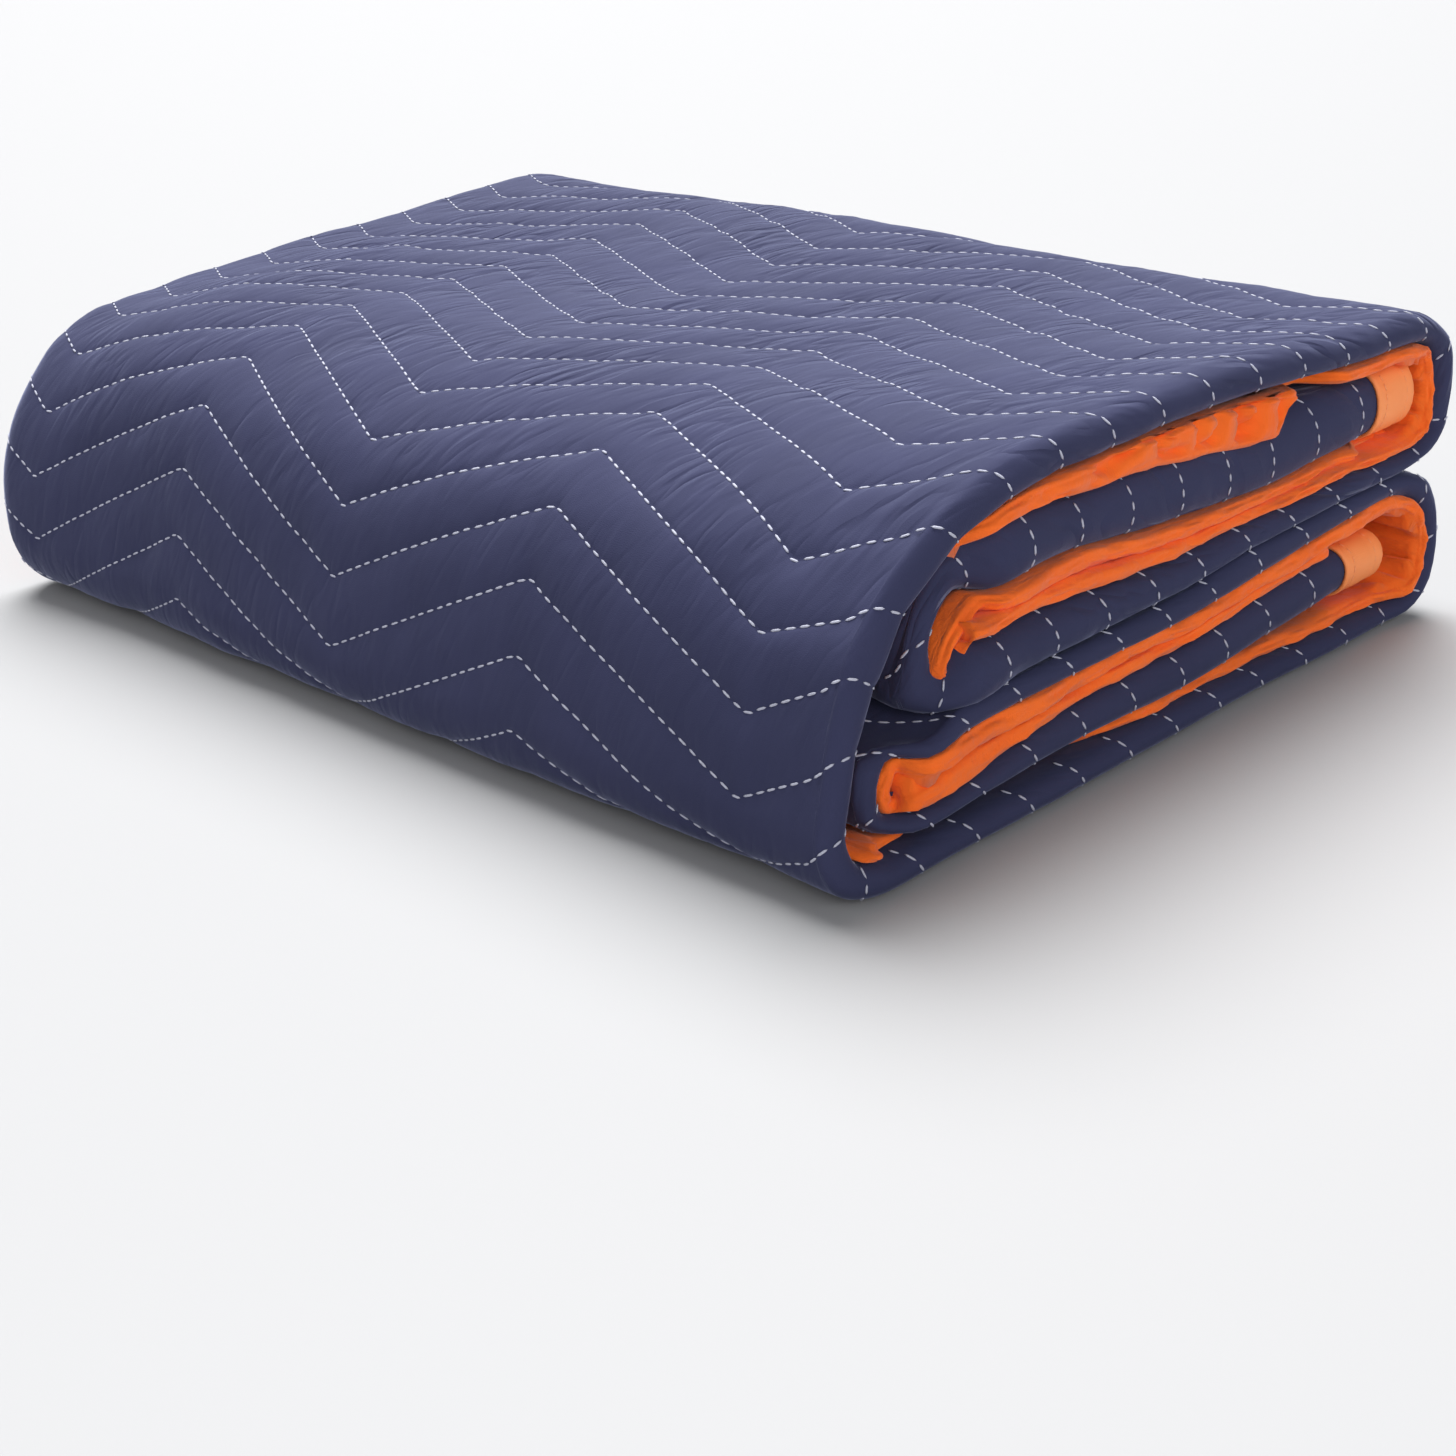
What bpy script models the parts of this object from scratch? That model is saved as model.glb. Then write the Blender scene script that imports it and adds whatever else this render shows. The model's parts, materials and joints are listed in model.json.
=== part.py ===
# Quilted moving blanket, folded in thirds and then rolled from both ends, in metres with +Z up.
# The origin is the middle of its footprint on the floor.
# +X runs along the folds, and -Y is the round front.
import math

import bmesh
import bpy
import numpy as np

# Sizes of the folded pack and of its cloth
PACK_LENGTH = 0.4576
PACK_HEIGHT = 0.1160
CLOTH_HALF = 0.0025
BACKING_THICK = 0.0012
PIECE_GAP = 0.0003
LIP_WIDTH = {"far": 0.0020, "near": 0.0048}
EDGE_BACK = 0.0030
FAR_EDGE_BACK = 0.0015
FAR_FOLD_BACK = 0.0080
FAR_IN_SHARE = 0.4
DROOP = 0.0040
DROOP_RUN = 0.0065

# Sizes of the two bound ends, where the filling is squeezed flat
BOUND_WIDTH = 0.0200
BOUND_HALF = 0.0015
BOUND_BACKING = 0.0007
TAPE_THICK = 0.0008
SQUEEZE_RUN = 0.0120

# Rows of quilting run in a zigzag across the width
ROW_PITCH = 0.0246
ZIGZAG_HALF = 3.918 * ROW_PITCH
ZIGZAG_RISE = 1.815 * ROW_PITCH
TROUGH_X = 0.1870
FIRST_ROW_Y = 0.1132
ROW_DEPTH = 0.0012
ROW_FADE = 0.0200
COLUMNS_PER_HALF = 3
SLANT_FADE = 0.034
SLANT_LOW_Z = 0.0300

# Away from the rows that show, the next section comes after this much run and this many degrees of turn
PLAIN_RUN = 0.060
PLAIN_TURN = 40

# The six flat passes of the folded strip, each of three layers. Step is the distance from layer to layer.
PASS_COLUMNS = ("front_y", "back_y", "front_z", "middle_z", "back_z",
                "front_step", "middle_step", "back_step", "near_in")
PASSES = {
    "tucked_high": (-0.0840, 0.1280, 0.0860, 0.0825, 0.0870, 0.0065, 0.0078, 0.0056, 0.0030),
    "under_high": (-0.1020, 0.1280, 0.0610, 0.0615, 0.0685, 0.0065, 0.0069, 0.0064, 0.0015),
    "top": (-0.0600, 0.1280, 0.1059, 0.1050, 0.1060, 0.0060, 0.0076, 0.0070, 0.0000),
    "floor": (-0.1372, 0.1260, 0.0079, 0.0079, 0.0079, 0.0054, 0.0054, 0.0054, 0.0030),
    "over_low": (-0.1180, 0.1260, 0.0429, 0.0420, 0.0495, 0.0054, 0.0054, 0.0054, 0.0025),
    "tucked_low": (-0.1210, 0.1165, 0.0250, 0.0249, 0.0289, 0.0054, 0.0054, 0.0056, 0.0050),
}

# The wrap down the front, from the top pass to the floor pass
WRAP_COLUMNS = ("y", "z", "step")
FRONT_WRAP = (
    (-0.0815, 0.1039, 0.0056),
    (-0.1061, 0.0978, 0.0053),
    (-0.1247, 0.0867, 0.0053),
    (-0.1360, 0.0705, 0.0053),
    (-0.1425, 0.0509, 0.0053),
    (-0.1468, 0.0306, 0.0053),
    (-0.1482, 0.0195, 0.0053),
    (-0.1450, 0.0111, 0.0054),
)
BEND_NEAR_IN = {"front": 0.0120, "back": 0.0030}

# The two columns of points where the pile's top changes slope along its length
SLOPE_X = (TROUGH_X - 3 * ZIGZAG_HALF, TROUGH_X - ZIGZAG_HALF)

# x, and how far the pile stands above or below its mean height there, at full height
SAG = (
    (-PACK_LENGTH / 2, 0.0050),
    (SLOPE_X[0], -0.0015),
    (SLOPE_X[1], -0.0040),
    (PACK_LENGTH / 2, 0.0010),
)

COLOURS = {
    "navy": ((0.060, 0.066, 0.145, 1.0), 0.85),
    "orange": ((0.800, 0.130, 0.020, 1.0), 0.80),
    "tape": ((0.870, 0.240, 0.075, 1.0), 0.55),
}


def smooth(t):
    t = min(max(t, 0.0), 1.0)
    return t * t * (3 - 2 * t)


def pass_guides(name, toward_back, pieces=8):
    """Points y, z, step, near_in along one flat pass."""
    row = dict(zip(PASS_COLUMNS, PASSES[name]))
    points = []
    for i in range(pieces + 1):
        t = i / pieces if toward_back else 1 - i / pieces
        ends = ("front", "middle", t * 2) if t < 0.5 else ("middle", "back", t * 2 - 1)
        blend = smooth(ends[2])
        z = row[ends[0] + "_z"] + (row[ends[1] + "_z"] - row[ends[0] + "_z"]) * blend
        step = row[ends[0] + "_step"] + (row[ends[1] + "_step"] - row[ends[0] + "_step"]) * blend
        y = row["front_y"] + (row["back_y"] - row["front_y"]) * t
        points.append((y, z, step, row["near_in"]))
    return points


def bend_guides(side, before, after, pieces=6):
    """Points round the half turn between two passes, from the last point before to the first after."""
    sign = -1 if side == "front" else 1
    radius = abs(after[1] - before[1]) / 2
    centre_z = (after[1] + before[1]) / 2
    start_up = 1 if before[1] > after[1] else -1
    points = []
    for i in range(1, pieces):
        turn = math.pi * i / pieces
        t = i / pieces
        y = before[0] + (after[0] - before[0]) * t + sign * radius * math.sin(turn)
        z = centre_z + start_up * radius * math.cos(turn)
        points.append((y, z, before[2] + (after[2] - before[2]) * t, BEND_NEAR_IN[side]))
    return points


def guide_points():
    """The whole route of the strip's middle, from the upper bound end to the lower one."""
    route = pass_guides("tucked_high", False)
    for name, toward_back, side in (("under_high", True, "front"), ("top", False, "back")):
        leg = pass_guides(name, toward_back)
        route += bend_guides(side, route[-1], leg[0]) + leg
    for values in FRONT_WRAP:
        row = dict(zip(WRAP_COLUMNS, values))
        route.append((row["y"], row["z"], row["step"], 0.0))
    route += pass_guides("floor", True)
    for name, toward_back, side in (("over_low", False, "back"), ("tucked_low", True, "front")):
        leg = pass_guides(name, toward_back)
        route += bend_guides(side, route[-1], leg[0]) + leg
    return np.array(route)


def through(points, spacing=0.001):
    """A smooth curve through the guide points (centripetal Catmull-Rom), in even steps."""
    knots = np.vstack([2 * points[0] - points[1], points, 2 * points[-1] - points[-2]])
    dense = []
    for i in range(1, len(knots) - 2):
        p = knots[i - 1:i + 3]
        gaps = np.sqrt(np.linalg.norm(np.diff(p[:, :2], axis=0), axis=1))
        t = np.concatenate([[0], np.cumsum(gaps)])
        for u in np.linspace(t[1], t[2], 24, endpoint=False):
            a = [(t[k + 1] - u) / (t[k + 1] - t[k]) * p[k] + (u - t[k]) / (t[k + 1] - t[k]) * p[k + 1]
                 for k in range(3)]
            b = [(t[k + 2] - u) / (t[k + 2] - t[k]) * a[k] + (u - t[k]) / (t[k + 2] - t[k]) * a[k + 1]
                 for k in range(2)]
            dense.append((t[2] - u) / (t[2] - t[1]) * b[0] + (u - t[1]) / (t[2] - t[1]) * b[1])
    dense = np.array(dense + [points[-1]])
    run = np.concatenate([[0], np.cumsum(np.linalg.norm(np.diff(dense[:, :2], axis=0), axis=1))])
    even = np.linspace(0, run[-1], int(run[-1] / spacing) + 1)
    return even, np.column_stack([np.interp(even, run, dense[:, k]) for k in range(dense.shape[1])])


class Route:
    """The strip's route, read by the distance q along the outside of its outer layer."""

    def __init__(self):
        self.s, dense = through(guide_points())
        self.y, self.z, self.step, self.near_in = dense.T
        dy, dz = np.gradient(self.y), np.gradient(self.z)
        length = np.hypot(dy, dz)
        self.ny, self.nz = dz / length, -dy / length
        left = self.s
        right = self.s[-1] - self.s
        squeeze = np.clip((np.minimum(left, right) - BOUND_WIDTH) / SQUEEZE_RUN, 0, 1)
        self.half = BOUND_HALF + (CLOTH_HALF - BOUND_HALF) * squeeze
        self.backing = BOUND_BACKING + (BACKING_THICK - BOUND_BACKING) * squeeze
        reach = self.step + self.half
        outer_y, outer_z = self.y + self.ny * reach, self.z + self.nz * reach
        self.q = np.concatenate([[0], np.cumsum(np.hypot(np.diff(outer_y), np.diff(outer_z)))])
        self.turn = np.concatenate([[0], np.cumsum(np.abs(np.diff(np.unwrap(np.arctan2(dz, dy)))))])
        on_top = (self.nz > 0.9) & (self.z > PASSES["top"][3] - 0.004)
        self.first_row = float(np.interp(-FIRST_ROW_Y, -outer_y[on_top], self.q[on_top]))
        bend = (self.q < self.q[on_top][0]) & (self.ny > 0.05)
        corner = (self.q > self.q[on_top][0]) & (self.z < SLANT_LOW_Z)
        floor = (self.nz < -0.999) & (self.z < 0.0085)
        self.shown = float(self.q[bend][0]), float(self.q[floor][0])
        self.slanted = float(self.q[on_top][0]), float(self.q[corner][0])

    def at(self, q):
        names = ("y", "z", "ny", "nz", "step", "near_in", "half", "backing", "s")
        return {name: np.interp(q, self.q, getattr(self, name)) for name in names}


def zigzag(x):
    """0 on the columns where a row of stitching is furthest forward, 1 where it is furthest back."""
    t = abs(x - TROUGH_X) / ZIGZAG_HALF % 2
    return t if t < 1 else 2 - t


def slant_share(route, q):
    """How much of the zigzag's slant the rows of points take: all of it but at the tight bends."""
    start, end = route.slanted
    return min(max((q - start) / SLANT_FADE, 0.0), 1.0) * min(max((end - q) / SLANT_FADE, 0.0), 1.0)


def stations(route):
    """Values of q: every half row where the outside shows, and as the bends need elsewhere."""
    half_row = ROW_PITCH / 2
    base = route.first_row - ZIGZAG_RISE / 2
    first = math.ceil((route.shown[0] - base) / half_row)
    last = math.floor((route.shown[1] - base) / half_row)
    shown = [(base + i * half_row, i % 2 == 0) for i in range(first, last + 1)]
    plain = []
    need = np.diff(route.s) / PLAIN_RUN + np.diff(route.turn) / math.radians(PLAIN_TURN)
    cost = np.concatenate([[0], np.cumsum(need)])
    marks = [route.q[0], np.interp(BOUND_WIDTH, route.s, route.q),
             np.interp(BOUND_WIDTH + SQUEEZE_RUN, route.s, route.q)]
    end = route.s[-1]
    closing = [np.interp(end - BOUND_WIDTH - SQUEEZE_RUN, route.s, route.q),
               np.interp(end - BOUND_WIDTH, route.s, route.q), route.q[-1]]
    for low, high in ((marks[-1], shown[0][0]), (shown[-1][0], closing[0])):
        a, b = np.interp((low, high), route.q, cost)
        count = max(2, round(b - a))
        inner = [np.interp(a + (b - a) * i / count, cost, route.q) for i in range(1, count)]
        plain.append([(q, False) for q in inner])
    return ([(q, False) for q in marks] + plain[0] + shown + plain[1] + [(q, False) for q in closing])


def rise(x, z):
    xs, rises = zip(*SAG)
    return z * (1 + np.interp(x, xs, rises) / PACK_HEIGHT)


def place(route, q, x, n):
    """A point of the pack at q along the route, x along the pack and n out from the strip's middle."""
    at = route.at(q)
    z = at["z"] + at["nz"] * n
    return (x, at["y"] + at["ny"] * n, rise(x, 0.0 if z < 2e-5 else z))


def measures(at):
    """Where the three layers' folds and free edges lie at one station."""
    half_step = at["step"] / 2
    near = PACK_LENGTH / 2 - at["near_in"]
    far = -PACK_LENGTH / 2 + FAR_IN_SHARE * at["near_in"]
    return {
        "near_fold": near - half_step - CLOTH_HALF,
        "far_fold": far + FAR_FOLD_BACK + half_step + CLOTH_HALF,
        "far_edge": far + FAR_EDGE_BACK,
        "near_edge": near - EDGE_BACK,
        "half_step": half_step,
    }


def droop(x, m):
    """How far the outer layer's far edge hangs down past the folds below it."""
    return -DROOP * max((m["far_edge"] + DROOP_RUN - x) / DROOP_RUN, 0.0)


def arc(x, n, radius, angles):
    """Points round a fold, by the angle in degrees above the +X direction."""
    turns = [math.radians(angle) for angle in angles]
    return [(x + radius * math.cos(turn), n + radius * math.sin(turn)) for turn in turns]


def face_ring(route, q, is_row):
    """The quilted face's outline at one station, out along the navy side and back along the inner one."""
    at = route.at(q)
    m = measures(at)
    step, half = at["step"], at["half"]
    inner = half - at["backing"] - PIECE_GAP
    slant = slant_share(route, q)
    sink = ROW_DEPTH * smooth((route.shown[1] - 0.6 * ROW_FADE - q) / ROW_FADE) if is_row else 0.0
    lip = {side: width + PIECE_GAP + 0.0004 for side, width in LIP_WIDTH.items()}

    def shifted(x, share=1.0):
        return q + slant * share * ZIGZAG_RISE * (0.5 - zigzag(x))

    ring = []
    for along, lift in ((0.0, inner), (lip["far"], inner), (lip["far"] + 0.001, half), (DROOP_RUN, half)):
        x = m["far_edge"] + along
        ring.append(place(route, shifted(x), x, route.at(shifted(x))["step"] + lift + droop(x, m)))
    for k in range(4 * COLUMNS_PER_HALF, -1, -1):
        x = TROUGH_X - k * ZIGZAG_HALF / COLUMNS_PER_HALF
        there = route.at(shifted(x))
        ring.append(place(route, shifted(x), x, there["step"] + there["half"] - sink))
    for angle, share in ((90, 1.0), (50, 0.8), (5, 0.5), (-45, 0.2), (-90, 0.0)):
        q_here = shifted(m["near_fold"], share)
        there = route.at(q_here)
        here = measures(there)
        radius = here["half_step"] + there["half"] - sink * share
        (x, n), = arc(here["near_fold"], here["half_step"], radius, [angle])
        ring.append(place(route, q_here, x, n))
    section = [(x, -half) for x in reversed(SLOPE_X)]
    section += arc(m["far_fold"], -m["half_step"], m["half_step"] - half, (90, 180, 270))
    section += [(x, -step + half) for x in SLOPE_X]
    section += [(m["near_edge"] - lip["near"] - 0.001, -step + half)]
    section += [(m["near_edge"] - lip["near"], -step + inner)]
    section += [(m["near_edge"], -step + inner)]
    split = len(ring) + len(section)
    section += [(m["near_edge"], -step - inner)]
    section += [(x, -step - inner) for x in reversed(SLOPE_X)]
    section += arc(m["far_fold"], -m["half_step"], m["half_step"] + inner, (270, 225, 180, 135, 90))
    section += [(x, inner) for x in SLOPE_X]
    section += arc(m["near_fold"], m["half_step"], m["half_step"] - inner, (-90, 0, 90))
    section += [(x, step - inner) for x in reversed(SLOPE_X)]
    section += [(m["far_edge"] + x, step - inner + droop(m["far_edge"] + x, m)) for x in (DROOP_RUN, 0.0)]
    return ring + [place(route, q, x, n) for x, n in section], split


def backing_ring(route, q):
    """The backing's outline: along the side against the face, then back along the side that shows."""
    at = route.at(q)
    m = measures(at)
    step, half = at["step"], at["half"]
    inner = half - at["backing"]
    far_in, far_out = m["far_edge"] - PIECE_GAP, m["far_edge"] - PIECE_GAP - at["backing"]
    near_in, near_out = m["near_edge"] + PIECE_GAP, m["near_edge"] + PIECE_GAP + at["backing"]
    round_off = 0.0006
    far_lip, near_lip = m["far_edge"] + LIP_WIDTH["far"], m["near_edge"] - LIP_WIDTH["near"]
    section = [(far_lip, step + inner), (far_in, step + inner), (far_in, step - inner)]
    section += [(m["far_edge"] + DROOP_RUN, step - inner)] + [(x, step - inner) for x in SLOPE_X]
    section += arc(m["near_fold"], m["half_step"], m["half_step"] - inner, (90, 0, -90))
    section += [(x, inner) for x in reversed(SLOPE_X)]
    section += arc(m["far_fold"], -m["half_step"], m["half_step"] + inner, (90, 135, 180, 225, 270))
    section += [(x, -step - inner) for x in SLOPE_X]
    section += [(near_in, -step - inner), (near_in, -step + inner), (near_lip, -step + inner)]
    split = len(section)
    section += [(near_lip, -step + half), (near_out - round_off, -step + half)]
    section += [(near_out, -step + half - round_off), (near_out, -step - half + round_off)]
    section += [(near_out - round_off, -step - half)]
    section += [(x, -step - half) for x in reversed(SLOPE_X)]
    section += arc(m["far_fold"], -m["half_step"], m["half_step"] + half, (270, 225, 180, 135, 90))
    section += [(x, half) for x in SLOPE_X]
    section += arc(m["near_fold"], m["half_step"], m["half_step"] - half, (-90, 0, 90))
    section += [(x, step - half) for x in reversed(SLOPE_X)] + [(m["far_edge"] + DROOP_RUN, step - half)]
    section += [(far_out + round_off, step - half), (far_out, step - half + round_off)]
    section += [(far_out, step + half - round_off), (far_out + round_off, step + half)]
    section += [(far_lip, step + half)]
    return [place(route, q, x, n + (droop(x, m) if n > half else 0.0)) for x, n in section], split


def layer_line(at, off):
    """A line across the three layers, off from their middle toward the navy side."""
    m = measures(at)
    step, fold = at["step"], m["half_step"]

    def turned(x, n, radius, inside, angles):
        # The inside of a fold has only three points, so the ones between them lie on its chords
        return [arc(x, n, radius * (math.cos(math.pi / 4) if inside and angle % 90 else 1.0), [angle])[0]
                for angle in angles]

    tip = m["far_edge"] - PIECE_GAP - at["backing"]
    line = [(x, step + off + droop(x, m)) for x in (tip, m["far_edge"] + DROOP_RUN, *SLOPE_X)]
    line += turned(m["near_fold"], fold, fold + off, off < 0, (90, 45, 0, -45, -90))
    line += [(x, -off) for x in reversed(SLOPE_X)]
    line += turned(m["far_fold"], -fold, fold - off, off > 0, (90, 135, 180, 225, 270))
    line += [(x, -step + off) for x in SLOPE_X]
    return line + [(m["near_edge"] + PIECE_GAP + at["backing"], -step + off)]


def tape_rings(route, first_end):
    """One ring for each point across the pack: the tape's U over the cut edge of the cloth."""
    inside, outside = BOUND_HALF + PIECE_GAP, BOUND_HALF + PIECE_GAP + TAPE_THICK
    reach = BOUND_WIDTH - 0.0010
    past = -PIECE_GAP - TAPE_THICK
    round_off = 0.0007
    profile = [(reach, outside), (past + round_off, outside), (past, outside - round_off),
               (past, round_off - outside), (past + round_off, -outside), (reach, -outside),
               (reach, -inside), (-PIECE_GAP, -inside), (-PIECE_GAP, inside), (reach, inside)]
    lines = []
    for along, off in profile:
        s = max(along, 0.0) if first_end else route.s[-1] - max(along, 0.0)
        q = float(np.interp(s, route.s, route.q))
        at = route.at(q)
        beyond = min(along, 0.0) * (1 if first_end else -1)
        line = [place(route, q, x, n) for x, n in layer_line(at, off)]
        lines.append([(x, y - at["nz"] * beyond, z + at["ny"] * beyond) for x, y, z in line])
    return [(list(ring), 6) for ring in zip(*lines)]


def material(name, colour):
    made = bpy.data.materials.new(name)
    made.use_nodes = True
    shader = made.node_tree.nodes["Principled BSDF"]
    rgba, roughness = COLOURS[colour]
    shader.inputs["Base Color"].default_value = rgba
    shader.inputs["Roughness"].default_value = roughness
    shader.inputs["Metallic"].default_value = 0.0
    made.diffuse_color = rgba
    return made


def fill_ribbon(bm, ring, split):
    """Fills a ring that runs out along one side of a winding strip and back along the other."""
    one, two = ring[:split], ring[split:][::-1]
    i = j = 0
    while i < len(one) - 1 or j < len(two) - 1:
        if j == len(two) - 1 or (i < len(one) - 1 and
                                 (one[i + 1].co - two[j].co).length <= (one[i].co - two[j + 1].co).length):
            bm.faces.new((one[i], one[i + 1], two[j]))
            i += 1
        else:
            bm.faces.new((one[i], two[j + 1], two[j]))
            j += 1


def loft(name, rings, look, home):
    """A closed body through rings of equal length, with its two ends filled."""
    bm = bmesh.new()
    rows = [[bm.verts.new(point) for point in ring] for ring, _ in rings]
    count, split = len(rows[0]), rings[0][1]
    for low, high in zip(rows, rows[1:]):
        for k in range(count):
            n = (k + 1) % count
            bm.faces.new((low[k], low[n], high[n], high[k]))
    fill_ribbon(bm, rows[0], split)
    fill_ribbon(bm, rows[-1], split)
    bmesh.ops.recalc_face_normals(bm, faces=bm.faces)
    mesh = bpy.data.meshes.new(name)
    bm.to_mesh(mesh)
    bm.free()
    mesh.materials.append(look)
    mesh.shade_smooth()
    mesh.set_sharp_from_angle(angle=math.radians(50))
    made = bpy.data.objects.new(name, mesh)
    home.objects.link(made)
    return made


def main():
    for old in list(bpy.data.objects):
        bpy.data.objects.remove(old, do_unlink=True)
    home = bpy.data.collections.new("moving_blanket")
    bpy.context.scene.collection.children.link(home)
    route = Route()
    rows = stations(route)
    face = [face_ring(route, q, is_row) for q, is_row in rows]
    back = [backing_ring(route, q) for q, _ in rows]
    made = [
        loft("quilted_face", face, material("navy_fabric", "navy"), home),
        loft("backing", back, material("orange_fabric", "orange"), home),
    ]
    tape = material("orange_tape", "tape")
    made.append(loft("end_binding_upper", tape_rings(route, True), tape, home))
    made.append(loft("end_binding_lower", tape_rings(route, False), tape, home))
    for piece in made:
        piece.data.calc_loop_triangles()
        print(piece.name, len(piece.data.loop_triangles), "triangles")
    print("strip length", round(float(route.s[-1]), 4), "stations", len(rows))


main()
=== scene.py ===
# A quilted moving blanket, folded in thirds and rolled flat from both ends.
# Metres, +Z up. x runs along the pack, q along the outside of the folded strip.
import json
import math

import bmesh
import bpy
import numpy as np
from mathutils import Matrix, Vector

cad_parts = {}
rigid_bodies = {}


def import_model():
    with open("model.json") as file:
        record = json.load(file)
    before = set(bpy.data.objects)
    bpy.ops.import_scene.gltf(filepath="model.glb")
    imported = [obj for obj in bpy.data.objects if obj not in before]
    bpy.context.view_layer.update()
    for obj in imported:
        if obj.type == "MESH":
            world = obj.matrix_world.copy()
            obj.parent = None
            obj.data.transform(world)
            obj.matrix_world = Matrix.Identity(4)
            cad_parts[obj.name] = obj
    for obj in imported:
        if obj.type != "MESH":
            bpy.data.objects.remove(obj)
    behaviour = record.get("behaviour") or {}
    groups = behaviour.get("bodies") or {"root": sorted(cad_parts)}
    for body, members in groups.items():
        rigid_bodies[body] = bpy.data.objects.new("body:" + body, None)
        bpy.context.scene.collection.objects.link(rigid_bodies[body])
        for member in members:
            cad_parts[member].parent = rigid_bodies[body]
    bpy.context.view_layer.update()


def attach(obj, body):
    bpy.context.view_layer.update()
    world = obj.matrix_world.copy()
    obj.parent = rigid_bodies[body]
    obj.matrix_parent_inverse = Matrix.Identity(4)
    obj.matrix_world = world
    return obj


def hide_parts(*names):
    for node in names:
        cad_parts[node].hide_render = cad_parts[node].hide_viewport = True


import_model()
print("frame loaded")

pack = {
    "length": 0.4576,
    "height": 0.1160,
    "half": 0.0025,  # half the cloth's thickness
    "rowPitch": 0.0246,
    "zigzagHalf": 3.918,  # across the cloth from a trough to a peak, in rows
    "zigzagRise": 1.815,  # along the cloth, in rows
    "slantRun": 0.045,  # from the bound ends to where the rows have their full zigzag
    "troughX": 0.1870,  # the zigzag's last trough before the near end
    "foldX": 0.2225,  # where the cloth's outside turns into the near fold
    "firstRowY": 0.1132,  # where the hindmost row crosses the top
    "boundWidth": 0.0200,
    "boundRun": 0.0120,  # from the bindings to the cloth's full thickness
    "boundHalf": 0.0015,  # half the thickness that the bindings hold
    "edgeBack": 0.0030,  # the third layer's free edge stands back from the near folds
    "farFoldBack": 0.0080,
    "droop": 0.0040,  # the first layer's free edge hangs down at the far end
    "droopRun": 0.0065,
    "droopMore": 0.0030,
    "seed": 7,
    # name: front y and back y, z at front, middle and back, the layers' step at the same three,
    # and how far the near edge stands back
    "passes": {
        "tuckedHigh": (-0.0840, 0.1280, 0.0860, 0.0825, 0.0870, 0.0065, 0.0078, 0.0056, 0.0030),
        "underHigh": (-0.1020, 0.1280, 0.0610, 0.0615, 0.0685, 0.0065, 0.0069, 0.0064, 0.0015),
        "top": (-0.0600, 0.1280, 0.1059, 0.1050, 0.1060, 0.0060, 0.0076, 0.0070, 0.0000),
        "floor": (-0.1372, 0.1260, 0.0079, 0.0079, 0.0079, 0.0054, 0.0054, 0.0054, 0.0030),
        "overLow": (-0.1180, 0.1260, 0.0429, 0.0420, 0.0495, 0.0054, 0.0054, 0.0054, 0.0025),
        "tuckedLow": (-0.1210, 0.1165, 0.0250, 0.0249, 0.0289, 0.0054, 0.0054, 0.0056, 0.0050),
    },
    # y, z, layer step down the round front, and how far the near edge stands back
    "frontWrap": (
        (-0.0815, 0.1039, 0.0056, 0.0), (-0.1061, 0.0978, 0.0053, 0.0006), (-0.1247, 0.0867, 0.0053, 0.0030),
        (-0.1360, 0.0705, 0.0053, 0.0034), (-0.1425, 0.0509, 0.0053, 0.0046), (-0.1468, 0.0306, 0.0053, 0.0058),
        (-0.1482, 0.0195, 0.0053, 0.0060), (-0.1450, 0.0111, 0.0054, 0.0045),
    ),
    "bendNearIn": {"front": 0.0100, "back": 0.0004},
    # how far the outer layer, the inner one and the hem are pressed outward inside a bend
    "bendOpen": {"front": (0.0, 0.0030, 0.0042), "back": (0.0, 0.0, 0.0)},
    # at the near end, how far out a layer bulges at front, middle and back of the pass; others lie even
    "nearEnd": {
        "tuckedHigh": {"outer": (0.0020, -0.0010, 0.0010), "inner": (-0.0050, -0.0040, -0.0052),
                       "hem": (-0.0035, -0.0012, -0.0045)},
        "underHigh": {"outer": (0.0050, 0.0038, 0.0006), "inner": (-0.0055, -0.0020, 0.0016),
                      "hem": (-0.0042, -0.0002, 0.0026)},
        "floor": {"inner": (-0.0018, -0.0020, -0.0010), "hem": (-0.0018, -0.0020, -0.0010)},
        "overLow": {"outer": (-0.0030, -0.0016, 0.0010), "hem": (0.0, 0.0012, 0.0014)},
        "tuckedLow": {"inner": (-0.0005, -0.0022, -0.0060), "hem": (-0.0005, -0.0022, -0.0058)},
    },
    # x and how far the pile stands above its mean height there, at full height
    "sag": ((-0.2288, 0.0050), (-0.1022, -0.0015), (0.0906, -0.0040), (0.2288, 0.0010)),
}
zigzagHalf, zigzagRise = (pack[name] * pack["rowPitch"] for name in ("zigzagHalf", "zigzagRise"))
foldW = pack["foldX"] - pack["troughX"]  # from the last trough to the near fold


def smooth(t):
    t = np.clip(t, 0.0, 1.0)
    return t * t * (3 - 2 * t)


def rise(value, start, run):
    # 0 up to start, 1 beyond start + run
    return smooth((value - start) / run)


def fall(value, start, run):
    # 1 below start - run, 0 beyond start
    return smooth((start - value) / run)


def lattice(u, v, seed):
    # value noise between -1 and 1, one value to each whole u and v
    table = np.random.default_rng(seed + pack["seed"]).uniform(-1, 1, (97, 89))
    u, v = np.broadcast_arrays(np.asarray(u, float), np.asarray(v, float))
    iu, iv = np.floor(u).astype(int), np.floor(v).astype(int)
    fu, fv = smooth(u - iu), smooth(v - iv)
    a, b = table[iu % 97, iv % 89], table[(iu + 1) % 97, iv % 89]
    c, d = table[iu % 97, (iv + 1) % 89], table[(iu + 1) % 97, (iv + 1) % 89]
    return (a + (b - a) * fu) * (1 - fv) + (c + (d - c) * fu) * fv


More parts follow.
